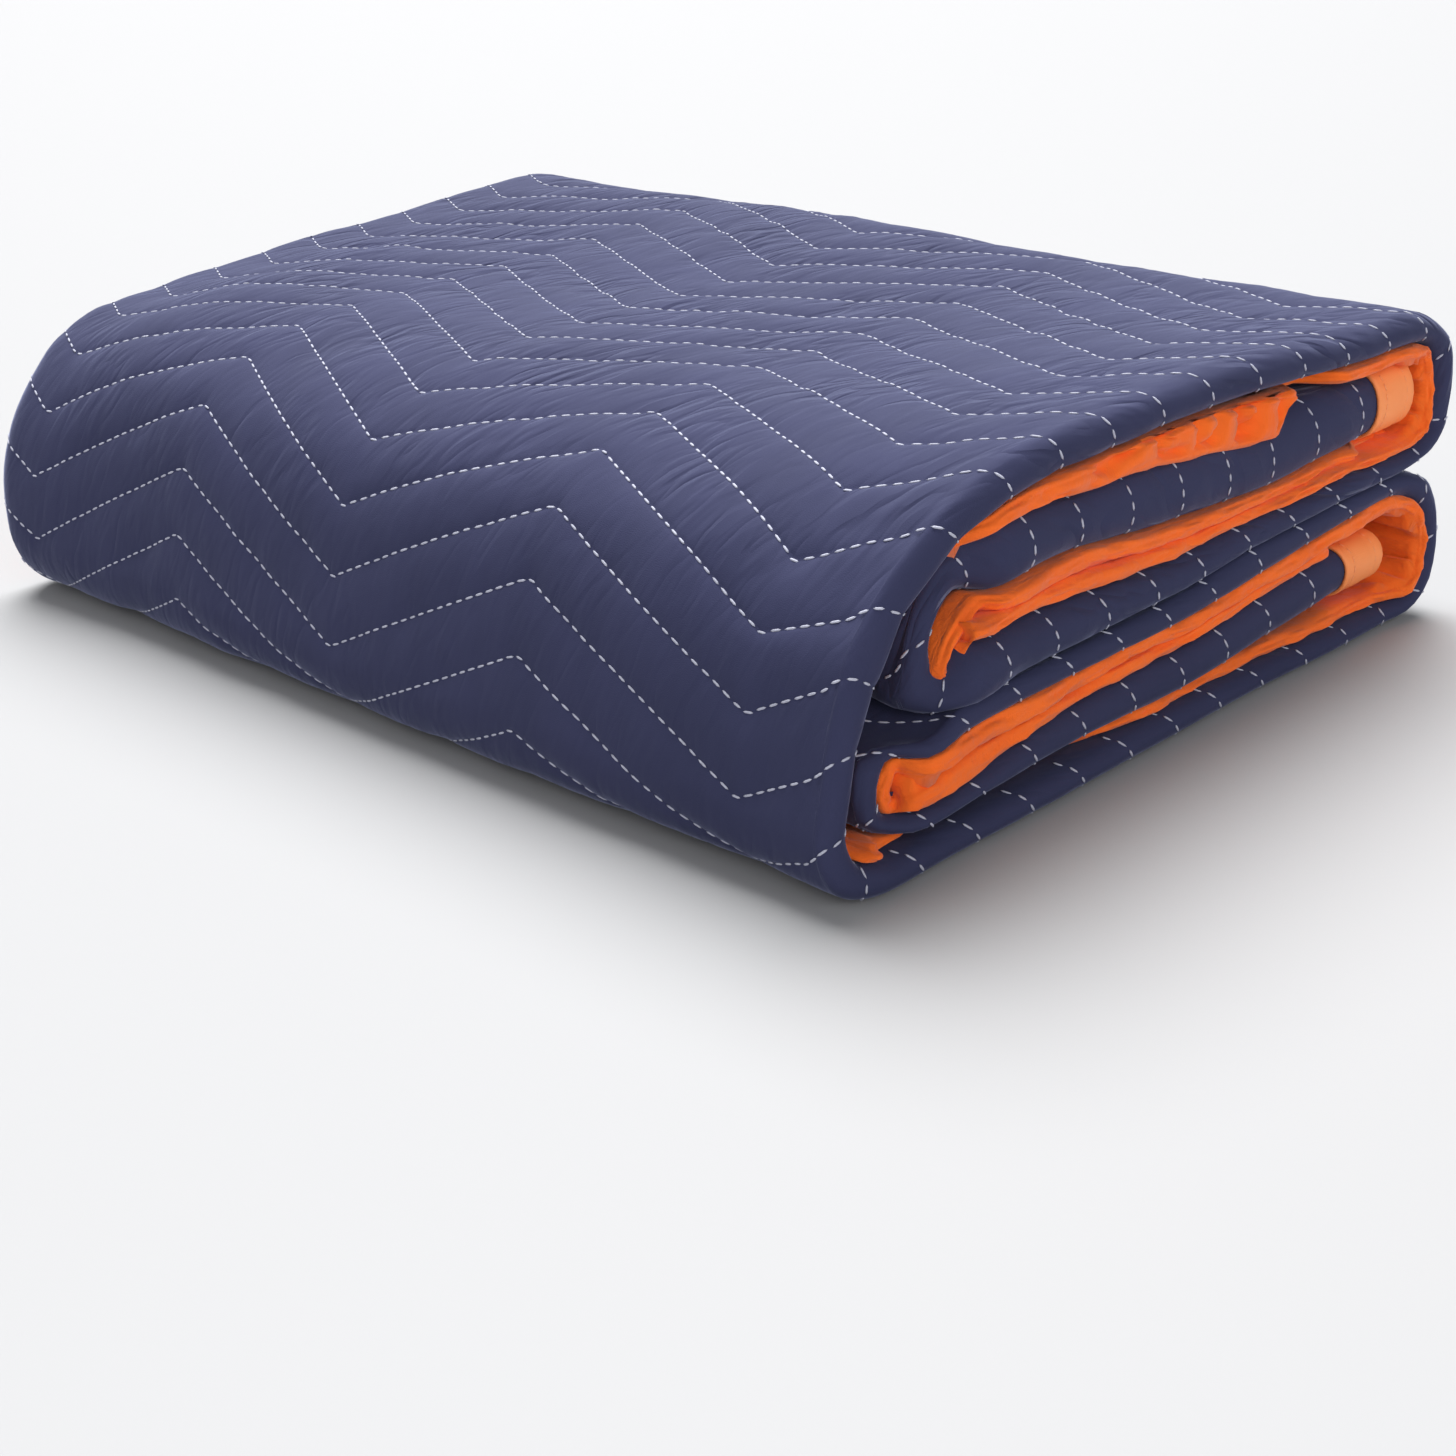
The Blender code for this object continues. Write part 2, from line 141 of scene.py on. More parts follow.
def passGuides(name, towardBack, pieces=8):
    # guide points of one pass: y, z, layer step, stand-back, then the three bulges at the near end
    frontY, backY, z0, z1, z2, s0, s1, s2, nearIn = pack["passes"][name]
    bulges = [pack["nearEnd"].get(name, {}).get(layer, (0.0, 0.0, 0.0)) for layer in ("outer", "inner", "hem")]
    points = []
    for i in range(pieces + 1):
        t = i / pieces if towardBack else 1 - i / pieces
        blend = float(smooth(t * 2 if t < 0.5 else t * 2 - 1))
        za, zb, sa, sb = (z0, z1, s0, s1) if t < 0.5 else (z1, z2, s1, s2)
        near = [(b[0] + (b[1] - b[0]) * blend if t < 0.5 else b[1] + (b[2] - b[1]) * blend) for b in bulges]
        points.append((frontY + (backY - frontY) * t, za + (zb - za) * blend,
                       sa + (sb - sa) * blend, nearIn, *near))
    return points


def bendGuides(side, before, after, pieces=6):
    # half an ellipse from the end of one pass to the start of the next
    sign = -1 if side == "front" else 1
    radius, centreZ = abs(after[1] - before[1]) / 2, (after[1] + before[1]) / 2
    up = 1 if before[1] > after[1] else -1
    points = []
    for i in range(1, pieces):
        t = i / pieces
        relax = abs(math.cos(math.pi * t)) ** 4  # the passes' bulges fade into the bend
        opened = [value * math.sin(math.pi * t) ** 2 for value in pack["bendOpen"][side]]
        bulges = [(a + (b - a) * t) * relax + more for a, b, more in zip(before[4:], after[4:], opened)]
        points.append((before[0] + (after[0] - before[0]) * t + sign * radius * math.sin(math.pi * t),
                       centreZ + up * radius * math.cos(math.pi * t),
                       before[2] + (after[2] - before[2]) * t, pack["bendNearIn"][side], *bulges))
    return points


def guidePoints():
    route = passGuides("tuckedHigh", False)
    for name, towardBack, side in (("underHigh", True, "front"), ("top", False, "back")):
        leg = passGuides(name, towardBack)
        route += bendGuides(side, route[-1], leg[0]) + leg
    route += [(y, z, step, nearIn, 0.0, 0.0, 0.0) for y, z, step, nearIn in pack["frontWrap"]]
    route += passGuides("floor", True)
    for name, towardBack, side in (("overLow", False, "back"), ("tuckedLow", True, "front")):
        leg = passGuides(name, towardBack)
        route += bendGuides(side, route[-1], leg[0]) + leg
    return np.array(route)


def throughPoints(points, spacing=0.001):
    # centripetal Catmull-Rom in even steps
    knots = np.vstack([2 * points[0] - points[1], points, 2 * points[-1] - points[-2]])
    dense = []
    for i in range(1, len(knots) - 2):
        p = knots[i - 1:i + 3]
        t = np.concatenate([[0], np.cumsum(np.sqrt(np.linalg.norm(np.diff(p[:, :2], axis=0), axis=1)))])
        for u in np.linspace(t[1], t[2], 24, endpoint=False):
            a = [(t[k + 1] - u) / (t[k + 1] - t[k]) * p[k] + (u - t[k]) / (t[k + 1] - t[k]) * p[k + 1]
                 for k in range(3)]
            b = [(t[k + 2] - u) / (t[k + 2] - t[k]) * a[k] + (u - t[k]) / (t[k + 2] - t[k]) * a[k + 1]
                 for k in range(2)]
            dense.append((t[2] - u) / (t[2] - t[1]) * b[0] + (u - t[1]) / (t[2] - t[1]) * b[1])
    dense = np.array(dense + [points[-1]])
    run = np.concatenate([[0], np.cumsum(np.linalg.norm(np.diff(dense[:, :2], axis=0), axis=1))])
    even = np.linspace(0, run[-1], int(run[-1] / spacing) + 1)
    return even, np.column_stack([np.interp(even, run, dense[:, k]) for k in range(dense.shape[1])])


class Route:
    # the way of the strip's middle, read by the distance q along its outside
    def __init__(self):
        self.s, dense = throughPoints(guidePoints())
        self.y, self.z, self.step, self.nearIn, self.outer, self.inner, self.hem = dense.T
        dy, dz = np.gradient(self.y), np.gradient(self.z)
        self.ny, self.nz = dz / np.hypot(dy, dz), -dy / np.hypot(dy, dz)
        # the bindings press the cloth thin at both ends
        squeeze = np.clip((np.minimum(self.s, self.s[-1] - self.s) - pack["boundWidth"]) / pack["boundRun"], 0, 1)
        self.half = pack["boundHalf"] + (pack["half"] - pack["boundHalf"]) * squeeze
        reach = self.step + self.half
        outerY, outerZ = self.y + self.ny * reach, self.z + self.nz * reach
        self.q = np.concatenate([[0], np.cumsum(np.hypot(np.diff(outerY), np.diff(outerZ)))])
        onTop = (self.nz > 0.9) & (self.z > 0.1020)
        self.firstRow = float(np.interp(-pack["firstRowY"], -outerY[onTop], self.q[onTop]))
        # where the outside first shows, where the top and the floor pass begin, and where the floor pass ends
        bend = (self.q < self.q[onTop][0]) & (self.ny > 0.05)
        self.topStart = float(self.q[onTop][0])
        self.shownStart = float(self.q[bend][0])
        self.floorStart = float(self.q[(self.nz < -0.999) & (self.z < 0.0085)][0])
        overLow = (self.q > self.floorStart) & (self.nz > 0)
        self.floorEnd = float(self.q[overLow][0])
        self.end = float(self.q[-1])

    def at(self, q):
        names = ("y", "z", "ny", "nz", "step", "nearIn", "half", "s", "outer", "inner", "hem")
        return {name: np.interp(q, self.q, getattr(self, name)) for name in names}


route = Route()
print("route", round(float(route.s[-1]), 3), "m along the strip")


def riseAt(x):
    # a smooth line through the sag's four knots
    xs, rises = np.array(pack["sag"]).T
    wide = np.linspace(xs[0], xs[-1], 240)
    line = np.interp(wide, xs, rises)
    soft = np.convolve(np.pad(line, 20, mode="edge"), np.ones(41) / 41, mode="valid")
    blend = smooth(np.minimum(wide - wide[0], wide[-1] - wide) / 0.05)
    return np.interp(x, wide, line + (soft - line) * blend)


# how the soft pile leans away from its even form; x or y, and the rise there
settle = {
    "back": ((-0.230, 0.0020), (-0.206, 0.0024), (-0.125, 0.0057), (-0.053, 0.0082), (0.012, 0.0062),
             (0.072, 0.0041), (0.126, 0.0008), (0.176, -0.0023), (0.230, -0.0056)),
    "left": ((-0.150, -0.0020), (-0.107, -0.0052), (-0.079, -0.0088), (-0.050, -0.0076), (-0.021, -0.0046),
             (0.010, -0.0022), (0.076, 0.0)),
    "belly": 0.0062,
    "bellyX": 0.0020,
    "bellyTop": 0.092,
    # where each of these begins and how far it runs before it holds in full
    "backRun": (0.020, 0.105),
    "leftRun": (-0.150, 0.075),
    "bellyRun": (-0.020, 0.09),
    "bellyOutRun": (-0.130, 0.095),
    "bellyLeftRun": (-0.190, 0.035),
    "nearRun": (0.150, 0.060),
    "nearFrontRun": (-0.148, 0.020),
    "pushRun": (0.04, 0.17),
    "pushReach": 0.024,  # how far above and below a back bend the push is felt
    # height, and how far the near end's layers have sunk or risen there, in millimetres, at each y of nearY
    "nearY": (-0.119, -0.100, -0.050, 0.000, 0.055, 0.100),
    "near": (
        (0.0000, 0.0, 0.0, 0.0, 0.0, 0.0, 0.0),
        (0.0115, -3.0, -3.0, -3.0, -3.0, -3.5, -3.6),
        (0.0165, -4.2, -4.2, -4.0, -4.2, -4.4, -4.4),
        (0.0280, -9.5, -9.0, -4.4, -2.9, -1.6, -1.0),
        (0.0400, -5.0, -2.6, -1.8, -1.8, -1.4, -1.0),
        (0.0500, -9.5, -3.4, -3.0, -2.0, 1.5, 1.5),
        (0.0670, -11.5, -5.2, -5.6, -6.4, -4.8, -3.5),
        (0.0785, -9.5, -6.0, -3.4, -5.4, -7.8, -6.5),
        (0.0950, -5.0, -2.4, -2.0, 1.8, 1.8, 1.0),
        (0.1120, 0.0, 0.0, 0.0, 0.0, 0.0, 0.0),
    ),
    # height of each back bend, y, and how far back the near end's cloth is pushed there
    "backPush": {
        0.086: ((0.055, 0.0), (0.100, 0.0040), (0.127, 0.0085), (0.156, 0.0058)),
        0.031: ((0.050, 0.0), (0.095, 0.0055), (0.118, 0.0100), (0.156, 0.0034)),
    },
}
nearLean = np.array(settle["near"])
nearLean[:, 1:] /= 1000  # to metres


def nearSink(y, z):
    # between the rows of nearLean by height, and between its columns by y
    columns = np.stack([np.interp(z, nearLean[:, 0], nearLean[:, k + 1]) for k in range(len(settle["nearY"]))])
    spot = np.interp(y, settle["nearY"], np.arange(len(settle["nearY"])))
    low = np.clip(np.floor(spot).astype(int), 0, len(settle["nearY"]) - 2)
    a, b = (np.take_along_axis(columns, (low + k)[None], 0)[0] for k in (0, 1))
    return a + (b - a) * smooth(spot - low)


def tableAt(name, t):
    places, values = np.array(settle[name]).T
    return np.interp(t, places, values)


def settled(x, y, z):
    # a smooth lean of the whole pile, nothing at the floor
    back = tableAt("back", x) * rise(y, *settle["backRun"])
    left = tableAt("left", y) * fall(x, *settle["leftRun"])
    share = np.clip(z / pack["height"], 0, 1.1)
    bump = np.sin(np.pi * np.clip(z / settle["bellyTop"], 0, 1)) ** 1.3 * fall(y, *settle["bellyRun"])
    y = y - settle["belly"] * bump * fall(x, *settle["bellyOutRun"])
    x = x - settle["bellyX"] * bump * fall(x, *settle["bellyLeftRun"])
    nearShare = rise(x, *settle["nearRun"]) * rise(y, *settle["nearFrontRun"])
    sink = nearShare * nearSink(np.broadcast_to(y, z.shape), z)
    push = 0
    for height, line in settle["backPush"].items():
        places, values = np.array(line).T
        push = push + np.interp(y, places, values) * np.exp(-((z - height) / settle["pushReach"]) ** 4)
    return x, y + push * rise(x, *settle["pushRun"]), z + share * (back + left) + sink


def place(q, x, n):
    # the point at q along the strip, x across it and n out from its middle
    at = route.at(q)
    z = at["z"] + at["nz"] * n
    z = np.where(z < 2e-5, 0.0, z)
    x, y, z = settled(x + 0 * z, at["y"] + at["ny"] * n, z * (1 + riseAt(x) / pack["height"]))
    return np.stack([x, y, z], axis=-1)


def zigzag(w):
    # w is the distance across the cloth from a trough; 0 in a trough, 1 on a peak
    t = np.abs(w) / zigzagHalf % 2
    return np.where(t < 1, t, 2 - t)


def slantShare(q):
    # 0 at the bound ends, where the rows run straight
    return np.clip(np.minimum(q, route.end - q) / pack["slantRun"], 0, 1)


def linked(name, data):
    made = bpy.data.objects.new(name, data)
    bpy.context.scene.collection.objects.link(made)
    return made


def gridMesh(name, points, uv):
    # points is rows by columns by 3, and each face runs with the row first
    rows, columns = points.shape[:2]
    index = np.arange(rows * columns).reshape(rows, columns)
    a, b, c, d = index[:-1, :-1], index[:-1, 1:], index[1:, 1:], index[1:, :-1]
    faces = np.stack([a, b, c, d], axis=-1).reshape(-1, 4)
    mesh = bpy.data.meshes.new(name)
    mesh.vertices.add(rows * columns)
    mesh.vertices.foreach_set("co", points.reshape(-1).astype(np.float32))
    mesh.loops.add(faces.size)
    mesh.loops.foreach_set("vertex_index", faces.reshape(-1).astype(np.int32))
    mesh.polygons.add(len(faces))
    mesh.polygons.foreach_set("loop_start", (np.arange(len(faces)) * 4).astype(np.int32))
    mesh.update(calc_edges=True)
    layer = mesh.uv_layers.new(name="cloth")
    flat = uv.reshape(-1, 2)[faces.reshape(-1)]
    layer.data.foreach_set("uv", flat.reshape(-1).astype(np.float32))
    mesh.validate()
    mesh.shade_smooth()
    return linked(name, mesh)


def faceOutward(made, sampleRow, sampleColumn, outward, columns):
    # turns the whole grid over if the face at one row and column points away from outward
    face = made.data.polygons[sampleRow * (columns - 1) + sampleColumn]
    if Vector(outward).dot(face.normal) < 0:
        made.data.flip_normals()


def edgeNoise(q, size, seed):
    return lattice(q / size, 0.37, seed)


# the layers' unevenness, which face, backing and stitches share
uneven = {
    "nearWander": 0.0012,  # how far the folds at the near end move in and out
    "nearWanderSize": 0.055,
    "topSoft": 0.0011,  # slow swells of the outside
    "topSoftSize": 0.085,
    "smallSize": (0.04, 0.03),
    "hemPull": 0.0012,
    "drag": 0.00075,  # wrinkles a little aslant of the strip
    "dragSize": (0.042, 0.012),
    "dragPatch": 0.06,
    "dragTurn": (0.940, 0.342),  # cosine and sine of that slant
    "dragDown": 0.30,  # what is left of them down the round front
    "topRun": 0.27,  # from the start of the top pass to the front's shoulder
}


def measures(at, q):
    # where the cloth's edges and folds lie across the pack
    step = at["step"]
    wander = uneven["nearWander"] * edgeNoise(q, uneven["nearWanderSize"], 11)
    near = pack["length"] / 2 - at["nearIn"] - 0.0004 + wander
    far = -pack["length"] / 2 + 0.4 * at["nearIn"]
    foldRadius = np.maximum((step + at["outer"] - at["inner"]) / 2, 0.0021)
    return {
        "near": near,
        "foldRadius": foldRadius,
        "foldN": (step + at["outer"] + at["inner"]) / 2,
        "nearFold": near - foldRadius - pack["half"],
        "farFold": far + pack["farFoldBack"] + step / 2 + pack["half"],
        "farEdge": far + 0.0015,
        "nearEdge": near - pack["edgeBack"] - hemBack(q) + uneven["hemPull"] * edgeNoise(q, 0.02, 12),
    }


def nearRamp(x, m):
    # 1 at the near folds, 0 where the layers lie even again
    return rise(x - m["near"], -0.050, 0.038)


def droop(x, farEdge):
    # the free edge at the far end hangs down a little
    more = pack["droopMore"]
    t = np.clip((farEdge + pack["droopRun"] + more - x) / (pack["droopRun"] + more), 0, None)
    return -pack["droop"] * t ** 1.6


def outsideShare(q):
    # 1 where the outside of the pack shows, 0 inside the roll
    return rise(q - route.shownStart, -0.01, 0.02) * fall(q, route.floorStart + 0.01, 0.02)


def swell(q, w):
    # slow unevenness and drag wrinkles, on the outside only
    (cosine, sine), (long, wide), patch = uneven["dragTurn"], uneven["dragSize"], uneven["dragPatch"]
    along, across = q * cosine - w * sine, w * cosine + q * sine
    drag = lattice(along / long, across / wide, 23) * (0.6 + 0.4 * lattice(q / patch, w / patch, 24))
    onTop = fall(q, route.topStart + uneven["topRun"], 0.06)
    drag = drag * (uneven["dragDown"] + (1 - uneven["dragDown"]) * onTop)
    size, (smallQ, smallW) = uneven["topSoftSize"], uneven["smallSize"]
    soft = 0.7 * lattice(q / size, w / size, 21) + 0.3 * lattice(q / smallQ, w / smallW, 22)
    return outsideShare(q) * (uneven["topSoft"] * soft + uneven["drag"] * drag)


# the third layer's near edge: where and how far it stands back, and how far it hangs under the top pass
hemSag = {
    "gapFrom": 0.058,
    "gapTo": 0.088,
    "gapBack": 0.013,
    "wrapBack": 0.0095,
    "wrapFromY": -0.090,
    "wrapToZ": 0.010,
    "floorBack": 0.0040,
    "endBack": 0.0090,
    "hang": 0.0062,
    "lift": 0.0012,
    "wave": 0.0004,
}


def topPassY(q):
    # y there, and 1 on the top pass or 0 off it
    inTop = rise(q - route.topStart, -0.02, 0.02) * fall(q, route.topStart + uneven["topRun"], 0.02)
    return route.at(q)["y"], inTop


def hemBack(q):
    # how far the free edge stands back from the near folds
    y, inTop = topPassY(q)
    gap = rise(y, hemSag["gapFrom"], 0.006) * fall(y, hemSag["gapTo"], 0.012) * inTop
    onWrap = (route.q > route.topStart) & (route.q < route.floorStart)
    wrapStart = float(np.interp(-hemSag["wrapFromY"], -route.y[onWrap], route.q[onWrap]))
    wrapEnd = float(np.interp(-hemSag["wrapToZ"], -route.z[onWrap], route.q[onWrap]))
    wrap = rise(q, wrapStart, 0.016) * fall(q, wrapEnd, 0.014)
    floor = rise(q - route.floorStart, 0.012, 0.02) * fall(q, route.floorEnd - 0.02, 0.05)
    frontFloor = rise(q - route.floorStart, -0.010, 0.012) * fall(q, route.floorStart + 0.120, 0.05)
    ends = fall(np.minimum(q, route.end - q), 0.030, 0.012)
    return (hemSag["gapBack"] * gap + hemSag["wrapBack"] * wrap + hemSag["floorBack"] * floor
            + hemSag["wrapBack"] * 0.9 * frontFloor + hemSag["endBack"] * ends)


# the third layer's spare cloth in the two front bends hangs out as a loop: shift in x, y and z
hooks = {"high": (0.0040, -0.0012, -0.0070), "low": (0.0, 0.0020, -0.0010)}


def hookShift(q, x, nearEdge):
    at = route.at(q)
    ramp = rise(x - nearEdge, -0.022, 0.016)
    wide, tip = rise(-at["ny"], 0.02, 0.6), rise(-at["ny"], 0.20, 0.8)
    high, low = ramp * (q < route.shownStart), ramp * (q > route.floorEnd)
    parts = zip(hooks["high"], hooks["low"], (wide, tip, tip))
    return np.stack([(inHigh * high + inLow * low) * share for inHigh, inLow, share in parts], axis=-1)


def hemShift(q, x, nearEdge):
    # the third layer's own lean near its free edge
    y, inTop = topPassY(q)
    ramp = rise(x - nearEdge, -0.036, 0.034)
    lift = hemSag["lift"] * rise(y, 0.055, 0.01) * inTop
    return ramp * (lift + route.at(q)["hem"] + hemSag["wave"] * edgeNoise(q, 0.017, 13))


def hemHang(q):
    # how much taller the edge is where it hangs like a curtain under the top pass
    y, inTop = topPassY(q)
    return inTop * hemSag["hang"] * rise(y, -0.100, 0.140) * fall(y, hemSag["gapFrom"], 0.008)


def hemRadius(q):
    return pack["half"] * (0.90 + 0.05 * edgeNoise(q, 0.012, 14))


# the quilted face; a row of quilting runs from phase 0 to 1, with points at these phases
face = {
    "shownPhases": (0, 0.035, 0.10, 0.20, 0.32, 0.50, 0.68, 0.80, 0.90, 0.965),
    "plainPhases": (0, 0.06, 0.28, 0.50, 0.72, 0.94),
    "shownSink": 0.0013,  # how deep a row of stitches sinks on the outside, and inside the roll
    "plainSink": 0.0006,
    "endShare": 0.30,  # how much of the rows' relief is left at the near folds
    "stand": 0.0003,  # how far the crests stand over the CAD's on the outside
    "pucker": 0.00045,  # small gathers beside the stitches
    "puckerSize": 0.0068,
    "columnsPerHalf": 24,
    "farIn": 0.0032,  # from the far edge to the first even column
    "foldRun": 0.0060,  # cloth used by each radian of the near fold
    "tuckRun": 0.026,  # how far the second layer's navy side can be seen
    "hemIn": 0.0300,  # where the third layer's lips begin
    # the third layer's end inside the hem: how far back, and its share of the half thickness
    "lips": ((0.020, 1.0), (0.0130, 1.0), (0.0098, 1.0), (0.0090, 0.4), (0.0050, 0.4), (0.0050, -0.4)),
}


def rowValues():
    # q before the zigzag's slant, and phase, of each row of points
    base = route.firstRow - zigzagRise / 2
    low = math.floor((0 - base) / pack["rowPitch"]) - 1
    high = math.ceil((route.end - base) / pack["rowPitch"]) + 1
    values = []
    for k in range(low, high + 1):
        start = base + k * pack["rowPitch"]
        shown = route.shownStart - 0.03 < start < route.floorStart + 0.02
        for phase in face["shownPhases" if shown else "plainPhases"]:
            q = start + phase * pack["rowPitch"]
            if 0.0008 < q < route.end - 0.0008:
                values.append((q, phase))
    return np.array([(0, 0.5)] + values + [(route.end, 0.5)])


def puff(phase):
    # the cloth's crown between two rows of stitches
    return np.sin(np.pi * phase) ** 0.62


def navyLift(q, w, phase, share):
    # height of the navy side over the cloth's middle
    at = route.at(q)
    shown = outsideShare(q)
    sink = face["plainSink"] + (face["shownSink"] - face["plainSink"]) * shown
    near = np.exp(-(np.minimum(phase, 1 - phase) / 0.16) ** 2)
    pucker = face["pucker"] * near * lattice(w / face["puckerSize"], q / 0.012, 31) * (0.35 + 0.65 * shown)
    flat = 1 - (1 - face["endShare"]) * rise(w, 0.004, 0.030) - 0.8 * fall(w, -0.372, 0.030)
    line = (puff(phase) - 1) * sink * share * flat
    unbound = np.minimum(1, (at["half"] - 0.0013) / 0.0012)  # no relief under the bindings
    return at["half"] + line * unbound + shown * face["stand"] + pucker * share


def nearFoldPoints(q, angle, lift, extra=0.0):
    at = route.at(q)
    m = measures(at, q)
    radius = m["foldRadius"] + lift + extra
    return m["nearFold"] + radius * np.cos(angle), m["foldN"] + radius * np.sin(angle)


def slanted(q, w, share=1.0):
    # a row follows the zigzag across the cloth
    return q + slantShare(q) * share * zigzagRise * (0.5 - zigzag(w))


def buildFace():
    rows = rowValues()
    qRow, phase = rows[:, :1], rows[:, 1:]
    columns = []  # points, w and q of each column, from the far edge to the third layer's end

    def add(q, x, n, w, shift=0.0):
        columns.append((place(q, x, n) + shift, np.broadcast_to(w, q.shape), q))

    def layerOne(xOf, lift=None):
        # xOf gives x from the measures there
        w = np.zeros_like(qRow)
        for _ in range(3):
            q = slanted(qRow, w)
            m = measures(route.at(q), q)
            x = xOf(m)
            w = x - pack["troughX"]
        at = route.at(q)
        height = navyLift(q, w, phase, 1.0) if lift is None else lift * at["half"] / pack["half"]
        n = at["step"] + height + droop(x, m["farEdge"]) + swell(q, w) + nearRamp(x, m) * at["outer"]
        add(q, x, n, w)

    step = zigzagHalf / face["columnsPerHalf"]
    for inward, height in ((0.0004, -0.0015), (-0.0003, 0.0002), (0.0003, 0.0014)):  # round the far edge
        layerOne(lambda m: m["farEdge"] + inward, height)
    farTrough, farIn = pack["troughX"] - 4 * zigzagHalf, face["farIn"]
    for t in np.linspace(0, 1, 7)[:-1]:
        layerOne(lambda m: m["farEdge"] + farIn + (farTrough - m["farEdge"] - farIn) * t)
    for k in range(4 * face["columnsPerHalf"], -1, -1):
        layerOne(lambda m: pack["troughX"] - k * step + 0 * m["farEdge"])
    for t in np.linspace(0, 1, 9)[1:]:
        layerOne(lambda m: pack["troughX"] + (m["nearFold"] - pack["troughX"]) * t)
    for angle in np.linspace(math.pi / 2, -math.pi / 2, 13)[1:]:
        w = foldW + (math.pi / 2 - angle) * face["foldRun"]
        q = slanted(qRow, np.full_like(qRow, w))
        x, n = nearFoldPoints(q, angle, navyLift(q, w, phase, 1.0))
        add(q, x, n, w)
    for t in (0.15, 0.4, 0.7, 1.0):  # the second layer's navy side, while it can be seen
        w = foldW + math.pi * face["foldRun"] + t * face["tuckRun"]
        q = slanted(qRow, np.full_like(qRow, w), 1 - t)
        at = route.at(q)
        m = measures(at, q)
        x = m["nearFold"] - t * face["tuckRun"]
        add(q, x, -navyLift(q, w, phase, 1 - t) + nearRamp(x, m) * at["inner"], w)
    at = route.at(qRow)
    m = measures(at, qRow)
    lift = at["half"]
    stepHere = at["step"]
    for t in np.linspace(0, 1, 13)[1:]:  # on to the far fold, round it and back along the third layer
        x = m["nearFold"] - face["tuckRun"] + (m["farFold"] - m["nearFold"] + face["tuckRun"]) * t ** 1.4
        add(qRow, x, -lift + nearRamp(x, m) * at["inner"], 0.0 - t)
    for angle in (math.pi * 0.75, math.pi, math.pi * 1.25):
        radius = stepHere / 2 - lift
        add(qRow, m["farFold"] + radius * math.cos(angle), -stepHere / 2 + radius * math.sin(angle), -1.0)
    nearEdge = m["nearEdge"]
    for t in np.linspace(0, 1, 13):
        x = m["farFold"] + (nearEdge - face["hemIn"] - m["farFold"]) * t
        add(qRow, x, -stepHere + lift, -1.0 - t)
    for back, thin in face["lips"]:
        x = nearEdge - back
        n = -stepHere + lift * thin + hemShift(qRow, x, nearEdge)
        add(qRow, x, n, -2.0 - back, hookShift(qRow, x, nearEdge))
    points = np.stack([p for p, _, _ in columns], axis=1)[:, :, 0]
    uv = np.stack([np.concatenate([w for _, w, _ in columns], axis=1),
                   np.concatenate([q for _, _, q in columns], axis=1)], axis=-1)
    made = gridMesh("quilted_face_cloth", points, uv)
    row = int(np.argmin(np.abs(qRow[:, 0] - route.topStart - 0.1)))
    faceOutward(made, row, 40, (0, 0, 1), points.shape[1])  # column 40 lies on top of the pack
    return made, points


faceCloth, facePoints = buildFace()
print("face", facePoints.shape, len(faceCloth.data.polygons) * 2, "triangles")


# the orange backing, with the hem that it makes round the third layer's edge
backing = {
    "row": 0.0026,  # between two rows of points along the strip
    "lipNear": 0.0088,  # how far the hem reaches back over the navy side
    "hemZone": 0.072,  # how far from the edge the finer columns begin
    "edgeIn": 0.0004,
    "wrinkle": 0.0011,
    "pocket": 0.0045,  # deepest wrinkle inside a bend
    "foldDeep": 0.0090,  # folds where the hem hangs
    "tight": 12,  # a bend turns by more radians to the metre than this
}


